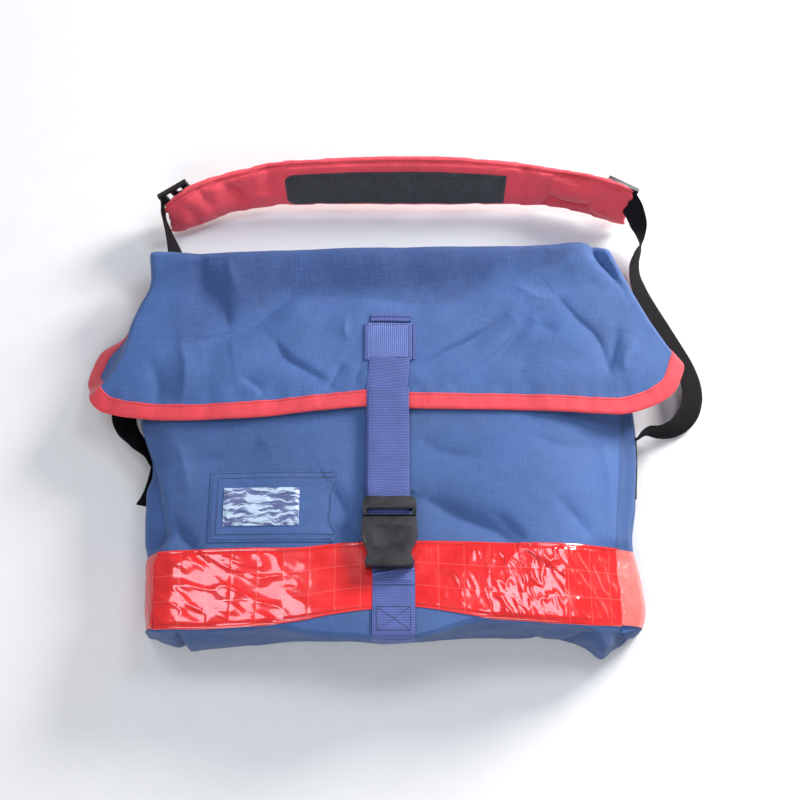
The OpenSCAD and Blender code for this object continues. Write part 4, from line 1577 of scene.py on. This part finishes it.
# ---- the shoulder pad, stuffed by cloth simulation ----


def at_pad(s, out, up):
    """s along the pad's curve from its middle, out from its inner face, up from its lower edge."""
    s, out, up = np.broadcast_arrays(np.asarray(s, float), out, up)
    a = s / PAD_R
    back = PAD_R + out * math.cos(PAD_LEAN) + up * math.sin(PAD_LEAN)
    z = 2 + PAD_T * math.sin(PAD_LEAN) + up * math.cos(PAD_LEAN) - out * math.sin(PAD_LEAN)
    return np.stack([PAD_CENTRE[0] + back * np.sin(a), PAD_CENTRE[1] + back * np.cos(a), z], -1)


def pad_place(points):
    """Undoes at_pad: (s, out, up) of points in millimetres."""
    dx, dy = points[:, 0] - PAD_CENTRE[0], points[:, 1] - PAD_CENTRE[1]
    a = np.arctan2(dx, dy)
    back = np.hypot(dx, dy) - PAD_R
    high = points[:, 2] - 2 - PAD_T * math.sin(PAD_LEAN)
    out = back * math.cos(PAD_LEAN) - high * math.sin(PAD_LEAN)
    up = back * math.sin(PAD_LEAN) + high * math.cos(PAD_LEAN)
    return a * PAD_R, out, up


PAD_HALF = 232
# How the worn pad settles along its curve: (s, shift up the bag, share of its height, further lean)
PAD_SETTLED = [(-236, -9, 0.58, 2), (-222, -8, 0.70, 3), (-212, -8, 0.78, 4), (-198, -7, 0.84, 6),
               (-174, -1, 0.80, 10), (-150, 0, 0.80, 14), (-125, 0, 0.84, 16), (-100, -2, 0.86, 17),
               (-75, -4, 0.87, 18), (75, -4, 0.87, 18), (100, -1, 0.83, 17), (125, 1, 0.80, 16),
               (150, 4, 0.75, 14), (175, 4, 0.77, 10), (200, 1, 0.84, 5), (212, 1, 0.83, 4),
               (226, 0, 0.80, 3), (236, -2, 0.74, 2)]


def pad_settle(s, column):
    return along([(row[0], row[column]) for row in PAD_SETTLED], s)


def settled(points):
    """Where a point of the straight pad lies once the pad has sunk and leant back, in millimetres."""
    p = np.array(points, float)
    s, out, up = pad_place(p.reshape(-1, 3))
    up = up * pad_settle(s, 2)
    lean = np.radians(pad_settle(s, 3))
    sunk = at_pad(s, out * np.cos(lean) + up * np.sin(lean), up * np.cos(lean) - out * np.sin(lean))
    sunk[..., 1] += pad_settle(s, 1)
    sunk[..., 2] += PAD_T * np.sin(lean) * math.cos(PAD_LEAN)
    return sunk.reshape(p.shape)


def pad_start():
    """A slim closed form, rounded at both ends, that the simulation then fills."""
    around = np.linspace(0, TAU, 36, endpoint=False)
    s = PAD_HALF * np.sin(np.linspace(-math.pi / 2, math.pi / 2, 90)[1:-1])
    end = (1 - np.abs(s / PAD_HALF) ** 26)[:, None] ** 0.5
    c, d = np.cos(around)[None], np.sin(around)[None]
    out = PAD_T / 2 + 4.4 * end * np.sign(c) * np.abs(c) ** 0.55
    up = PAD_H / 2 + (PAD_H / 2 - 2.2) * (0.84 + 0.16 * end) * np.sign(d) * np.abs(d) ** 0.42
    rings = at_pad(s[:, None], out, up)
    return sweep("shoulder_pad_cloth", rings, np.zeros(rings.shape[:2] + (2,)), red_pad)


def apply_modifiers(obj):
    mesh = evaluated(obj)
    obj.modifiers.clear()
    old, obj.data = obj.data, mesh
    bpy.data.meshes.remove(old)


STUFF_FRAMES = 20
STUFF_PRESSURE = 4.0


def stuff(obj, cap):
    """Blows the cloth up from inside, never moving a point further than cap millimetres."""
    remesh = obj.modifiers.new("remesh", "REMESH")
    remesh.mode, remesh.voxel_size = "VOXEL", 0.0045
    apply_modifiers(obj)
    before = read_points(obj.data)
    cloth = obj.modifiers.new("cloth", "CLOTH")
    cloth.settings.use_pressure = True
    cloth.settings.uniform_pressure_force = STUFF_PRESSURE
    # Weight is left out: the pad is settled afterwards, by settled()
    cloth.settings.effector_weights.gravity = 0
    cloth.settings.bending_stiffness = 0.3
    cloth.point_cache.frame_start, cloth.point_cache.frame_end = 1, STUFF_FRAMES
    scene = bpy.context.scene
    scene.frame_start, scene.frame_end = 1, STUFF_FRAMES
    for number in range(1, STUFF_FRAMES + 1):
        scene.frame_set(number)
    apply_modifiers(obj)
    move = read_points(obj.data) - before
    size = np.linalg.norm(move, axis=1, keepdims=True)
    limit = cap * MM
    kept = np.minimum(1, limit * np.tanh(size / limit) / np.maximum(size, 1e-9))
    write_points(obj.data, before + move * kept)
    scene.frame_set(1)


# How far up the pad its seam runs
PAD_SEAM = 57.5
# The folds of the pad's inner face, as (route of (s, up), height, reach left, reach right)
PAD_FOLDS = [
    ([(-170, 52), (-160, 40), (-154, 26), (-158, 12)], -5.5, 7, 9),
    ([(-128, 62), (-122, 40), (-116, 4)], -3.2, 5, 9),
    ([(-196, 60), (-190, 44), (-184, 26)], -2.6, 5, 8),
    ([(-214, 50), (-204, 30), (-198, 8)], -2.4, 5, 8),
    ([(-146, 30), (-134, 24), (-122, 26)], 1.8, 6, 8),
    ([(150, 50), (164, 56), (182, 54), (196, 44)], -3.0, 5, 6),
    ([(196, 44), (190, 24), (168, 18), (150, 26), (148, 44)], -3.2, 6, 5),
]
PAD_LATER_FOLDS = [
    ([(156, 24), (150, 12), (144, 2)], -3.0, 4, 8),
    ([(186, 24), (194, 12), (198, 2)], -2.6, 4, 8),
    ([(214, 56), (206, 36), (208, 14)], -2.4, 6, 7),
    ([(122, 60), (128, 36), (126, 6)], -2.0, 5, 10),
]


def pad_tucks(s, up):
    """Seams, tucks and puckers of the pad's inner face, in millimetres off it."""
    d = -1.9 * bump(up, PAD_SEAM, 1.9)
    top_strip = ramp(up, 58, 61)
    d = d + top_strip * 0.9 * noise(s / 8, up / 30, 201) * (0.5 + 0.5 * ramp(np.abs(s), 40, 110))
    near_seam = bump(up, 54, 7)
    d = d - near_seam * 1.1 * np.maximum(noise(s / 7, up / 60 + 4, 203), 0) * ramp(np.abs(s), 90, 130)
    d = folded(d, s, up, PAD_FOLDS)
    # The cloth stands up inside the ring of folds on the right
    d = d + 2.2 * bump(s, 170, 17) * bump(up, 37, 12)
    d = folded(d, s, up, PAD_LATER_FOLDS)
    return d + 0.7 * noise(s / 30, up / 40, 207) + 0.35 * noise(s / 11, up / 16, 209)


# The lowest that the pad's cloth may come, in metres
PAD_FLOOR = 0.0012


def make_pad():
    pad = pad_start()
    stuff(pad, cap=2)
    finer = pad.modifiers.new("finer", "SUBSURF")
    finer.levels = finer.render_levels = 1
    apply_modifiers(pad)
    mesh = pad.data
    points = read_points(mesh)
    normal = read_points(mesh, "normal")
    s, out, up = pad_place(points / MM)
    inward = (normal * (at_pad(s, out - 1, up) - at_pad(s, out, up))).sum(1)
    inner = ramp(inward, 0.0, 0.45)
    outer = ramp(-inward, 0.0, 0.45)
    top = ramp(normal[:, 2], 0.5, 0.9)
    push = np.maximum(inner, 0.6 * top) * pad_tucks(s, up)
    push = push + outer * (-1.5 * bump(up, PAD_SEAM, 2.2) + 0.9 * noise(s / 26, up / 34, 211)
                           + 0.5 * noise(s / 9, up / 14, 213))
    points = settled((points + normal * push[:, None] * MM) / MM) * MM
    points[:, 2] = np.maximum(points[:, 2], PAD_FLOOR)
    write_points(mesh, points)
    dress(mesh, red_pad)
    rest_on(pad, "shoulder_pad", "pad_cloth", "pad_cover", "pad_foam")
    return pad


def onto(obj, points, way):
    """Drops points, in millimetres, onto an object along a direction, or to its nearest place."""
    polygons = [list(p.vertices) for p in obj.data.polygons]
    tree = BVHTree.FromPolygons([v.co for v in obj.data.vertices], polygons)
    direction = Vector(way).normalized()
    landed = []
    for p in np.asarray(points, float).reshape(-1, 3):
        start = Vector(p * MM) - direction * 0.06
        hit = tree.ray_cast(start, direction)[0] or tree.find_nearest(Vector(p * MM))[0]
        landed.append(np.array(hit) / MM)
    return np.array(landed).reshape(np.shape(points))


def smoothed(grid, rounds):
    """A grid with its inner points drawn to the middle of their neighbours."""
    for _ in range(rounds):
        inner = (grid[:-2, 1:-1] + grid[2:, 1:-1] + grid[1:-1, :-2] + grid[1:-1, 2:]) / 4
        grid = grid.copy()
        grid[1:-1, 1:-1] = inner
    return grid


# The way from the pad's inner face to its outer one, at its middle
PAD_OUTWARD = at_pad(0.0, 1.0, 0.0) - at_pad(0.0, 0.0, 0.0)
# The grip cloth as (low s, high s, low up, high up), the radius of its left corners and its grid
GRIP = (-112, 106, 6.5, 46)
GRIP_CORNER = 9.0
GRIP_ROWS = 26
GRIP_COLS = 150


def make_grip(pad):
    """The grip cloth on the inner face: its left corners are rounded, its border is sewn."""
    low_s, high_s, low_up, high_up = GRIP
    t = np.linspace(-1, 1, GRIP_ROWS)[:, None]
    q = np.linspace(0, 1, GRIP_COLS)[None]
    height = (high_up - low_up) / 2
    into_corner = np.clip((np.abs(t) * height - height + GRIP_CORNER) / GRIP_CORNER, 0, 1)
    inset = GRIP_CORNER * (1 - np.sqrt(np.clip(1 - into_corner**2, 0, 1)))
    s = mix(low_s + inset, high_s + 0 * t, q)
    up = (low_up + high_up) / 2 + height * t + 0 * q
    grid = smoothed(onto(pad, settled(at_pad(s, -2.0, up)), PAD_OUTWARD), 3)
    edge = np.minimum(np.minimum(q, 1 - q) * (high_s - low_s), (1 - np.abs(t)) * height)
    lift = 0.55 + 0.75 * ramp(edge, 0, 1.6) - 0.35 * bump(edge, 3.4, 0.8)
    grid = grid - PAD_OUTWARD * lift[..., None]
    behind = at_pad(0.0, 40.0, 30.0)
    patch = shell("pad_grip_cloth", grid, np.stack([s, up], -1), 1.2, grip_cloth, centre=behind)
    rest_on(patch, "shoulder_pad", "grip_cloth", "pad_grip_patch")
    # The stitches run round three points in from the border
    last_row, last_col = GRIP_ROWS - 4, GRIP_COLS - 4
    ring = [(3, k) for k in range(3, last_col + 1)] + [(r, last_col) for r in range(4, last_row)]
    ring += [(last_row, k) for k in range(last_col, 2, -1)]
    ring += [(r, 3) for r in range(last_row - 1, 3, -1)]
    line = np.array([grid[r, k] - PAD_OUTWARD * 0.3 for r, k in ring])
    sewn = stitches("pad_grip_stitching", [line], black_thread, pitch=3.0, long=2.1, radius=0.3)
    rest_on(sewn, "shoulder_pad", "grip_cloth")


def make_pad_stitching(pad):
    """A row of stitches on each side of the seam."""
    lines = []
    s = np.linspace(-222, 222, 150)
    for up in (54.2, 60.0):
        start = settled(at_pad(s, -2.0, np.full(s.shape, up)))
        lines.append(onto(pad, start, PAD_OUTWARD) - PAD_OUTWARD * 0.15)
    sewn = stitches("pad_seam_stitching", lines, red_thread, pitch=3.2, long=2.2, radius=0.26)
    rest_on(sewn, "shoulder_pad", "pad_cloth")


# ---- ladder locks and webbing ----

# A lock's plate: length, width, thickness, and how far up the pad its lower edge is
LOCK_L = 33
LOCK_W = 30
LOCK_T = 5
LOCK_LOW = PAD_H - 38
# How far each lock has slid with its end of the pad, and how its outer end hangs, in degrees
LOCK_DROP = {-1: (-7.0, -13.0, 22), 1: (-3.0, -12.0, 16)}
# How far along the pad from its middle the locks and their loops are
LOOP_S = (PAD_ANGLE / 2 - math.radians(1.4)) * PAD_R


def lock_place(side):
    """A function that puts points of a lock's own frame in their place."""
    def place(points):
        """The lock's plate lies along the pad's curve at its end, off the outer face."""
        p = np.asarray(points, float)
        a = side * LOOP_S / PAD_R
        origin = at_pad(side * LOOP_S, PAD_T + 2.2, LOCK_LOW)
        along_x = np.array([math.cos(a), -math.sin(a), 0])
        outward_y = at_pad(side * LOOP_S, PAD_T + 3.2, LOCK_LOW) - origin
        up_z = at_pad(side * LOOP_S, PAD_T + 2.2, LOCK_LOW + 1) - origin
        slid, sunk, hang = LOCK_DROP[side]
        c, d = math.cos(math.radians(hang)), side * math.sin(math.radians(hang))
        x, up = p[..., :1], p[..., 2:] - LOCK_W / 2
        x, up = c * x + d * up, c * up - d * x + LOCK_W / 2
        return origin + x * along_x + p[..., 1:2] * outward_y + up * up_z + np.array([0, slid, sunk])
    return place


def make_lock(side, word):
    place = lock_place(side)
    half = LOCK_L / 2
    block = prism("body", [(-half, 0), (half, 0), (half, LOCK_T), (-half, LOCK_T)], 0, LOCK_W)
    # Two slots for the webbing, and a row of grooves to hold it by
    cutters = [box_cutter((x, -5, 3), (x + 6, 15, LOCK_W - 3)) for x in (-9, 3)]
    groove = -side * (half + 1)
    cutters += [box_cutter((groove - 1.2, LOCK_T - 0.7, k), (groove + 6, 9, k + 1.3))
                for k in (5, 9, 13, 17, 21, 24)]
    lock = moulding("ladder_lock_body_" + word, block, cutters, 0.9, place)
    rest_on(lock, "ladder_" + word, "moulded_black", "ladder_lock_" + word)
    route = [(-side * x, y, 15) for x, y in ((15, 1.6), (10, 1.2), (5, 1.4), (1.5, 2.5))]
    points = [tuple(place(p)) for p in route]
    loop = ribbon("pad_loop_webbing_" + word, points, [0, 0], WEB_W - 1, WEB_T, black_web, 40)
    rest_on(loop, "shoulder_pad", "black_webbing", "pad_loop_" + word)


# Ways of the webbing from the locks to the bag, and how it rolls on the way, in degrees
LEFT_ROUTE = [(-231, 252, 37), (-230, 245, 34), (-229, 236, 30), (-225, 224, 26), (-220, 210, 22),
              (-217, 198, 19), (-219, 184, 15), (-226, 168, 13), (-235, 142, 12), (-243, 116, 12),
              (-249, 90, 12), (-255, 65, 12), (-259, 44, 12), (-259, 28, 13), (-254, 15, 15), (-246, 5, 18),
              (-240, -3, 20), (-231, -13, 22), (-226, -24, 22)]
LEFT_ROLL = [0, 5, 15, 28, 38, 42, 40, 45, 50, 55, 58, 60, 64, 66, 62, 54, 42, 26, 10]
RIGHT_ROUTE = [(230, 257, 38), (235, 250, 35), (240, 242, 32), (244, 232, 28), (247, 222, 25),
               (247, 210, 22), (242, 197, 18), (240, 183, 15), (244, 165, 13), (252, 145, 12),
               (262, 125, 12), (273, 104, 12), (283, 84, 12), (289, 64, 12), (289, 47, 12),
               (283, 32, 12.5), (270, 20, 14), (256, 15, 17), (243, 14, 20), (234, 8, 22)]
RIGHT_ROLL = [-38, -36, -28, -6, 14, 32, 46, 54, 60, 62, 62, 62, 62, 62, 60, 55, 45, 24, 5, 0]
TAIL_ROUTE = [(-225, -20, 24), (-224.5, -31, 23), (-226.5, -43, 19), (-230, -52, 14), (-233.5, -58, 10.5)]
TAIL_ROLL = [5, 16, 22, 26, 30]


def make_webbing():
    left = ribbon("shoulder_webbing_left_run", LEFT_ROUTE, LEFT_ROLL, WEB_W, WEB_T, black_web, 300)
    right = ribbon("shoulder_webbing_right_run", RIGHT_ROUTE, RIGHT_ROLL, WEB_W, WEB_T, black_web, 320)
    for run, node, x in ((left, "shoulder_webbing_left", -0.24), (right, "shoulder_webbing_right", 0.24)):
        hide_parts(node)
        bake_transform(run)
    tail = ribbon("webbing_tail_left_run", TAIL_ROUTE, TAIL_ROLL, WEB_W, WEB_T, black_web, 60)
    rest_on(tail, "bag", "black_webbing", "webbing_tail_left")


# The webbing's patch on each side of the bag, as (low v, high v, low y, high y)
PATCH = (45, 68, -54, 8)


def make_strap_anchor(name, surface, node):
    """A webbing patch sewn to the side, that the shoulder webbing starts from."""
    y = np.linspace(PATCH[2], PATCH[3], 50)
    v = np.linspace(PATCH[0], PATCH[1], 20)
    y_grid, v_grid = np.meshgrid(y, v, indexing="ij")
    grid = surface(y_grid, v_grid)
    lift = 0.4 + 0.7 * ramp(from_rim(v_grid, y_grid, PATCH), 0, 1.2)
    grid = grid + outward(grid, INSIDE_BAG) * lift[..., None]
    uv = np.stack([v_grid - (PATCH[0] + PATCH[1]) / 2, y_grid], -1)
    patch = shell(name, grid, uv, 1.2, black_web, centre=INSIDE_BAG)
    rest_on(patch, "bag", "black_webbing", node)


pad = make_pad()
make_grip(pad)
make_pad_stitching(pad)
for lock_side, lock_word in ((-1, "left"), (1, "right")):
    make_lock(lock_side, lock_word)
make_webbing()
make_strap_anchor("left_anchor_webbing", left_side, "left_strap_anchor")
make_strap_anchor("right_anchor_webbing", right_side, "right_strap_anchor")
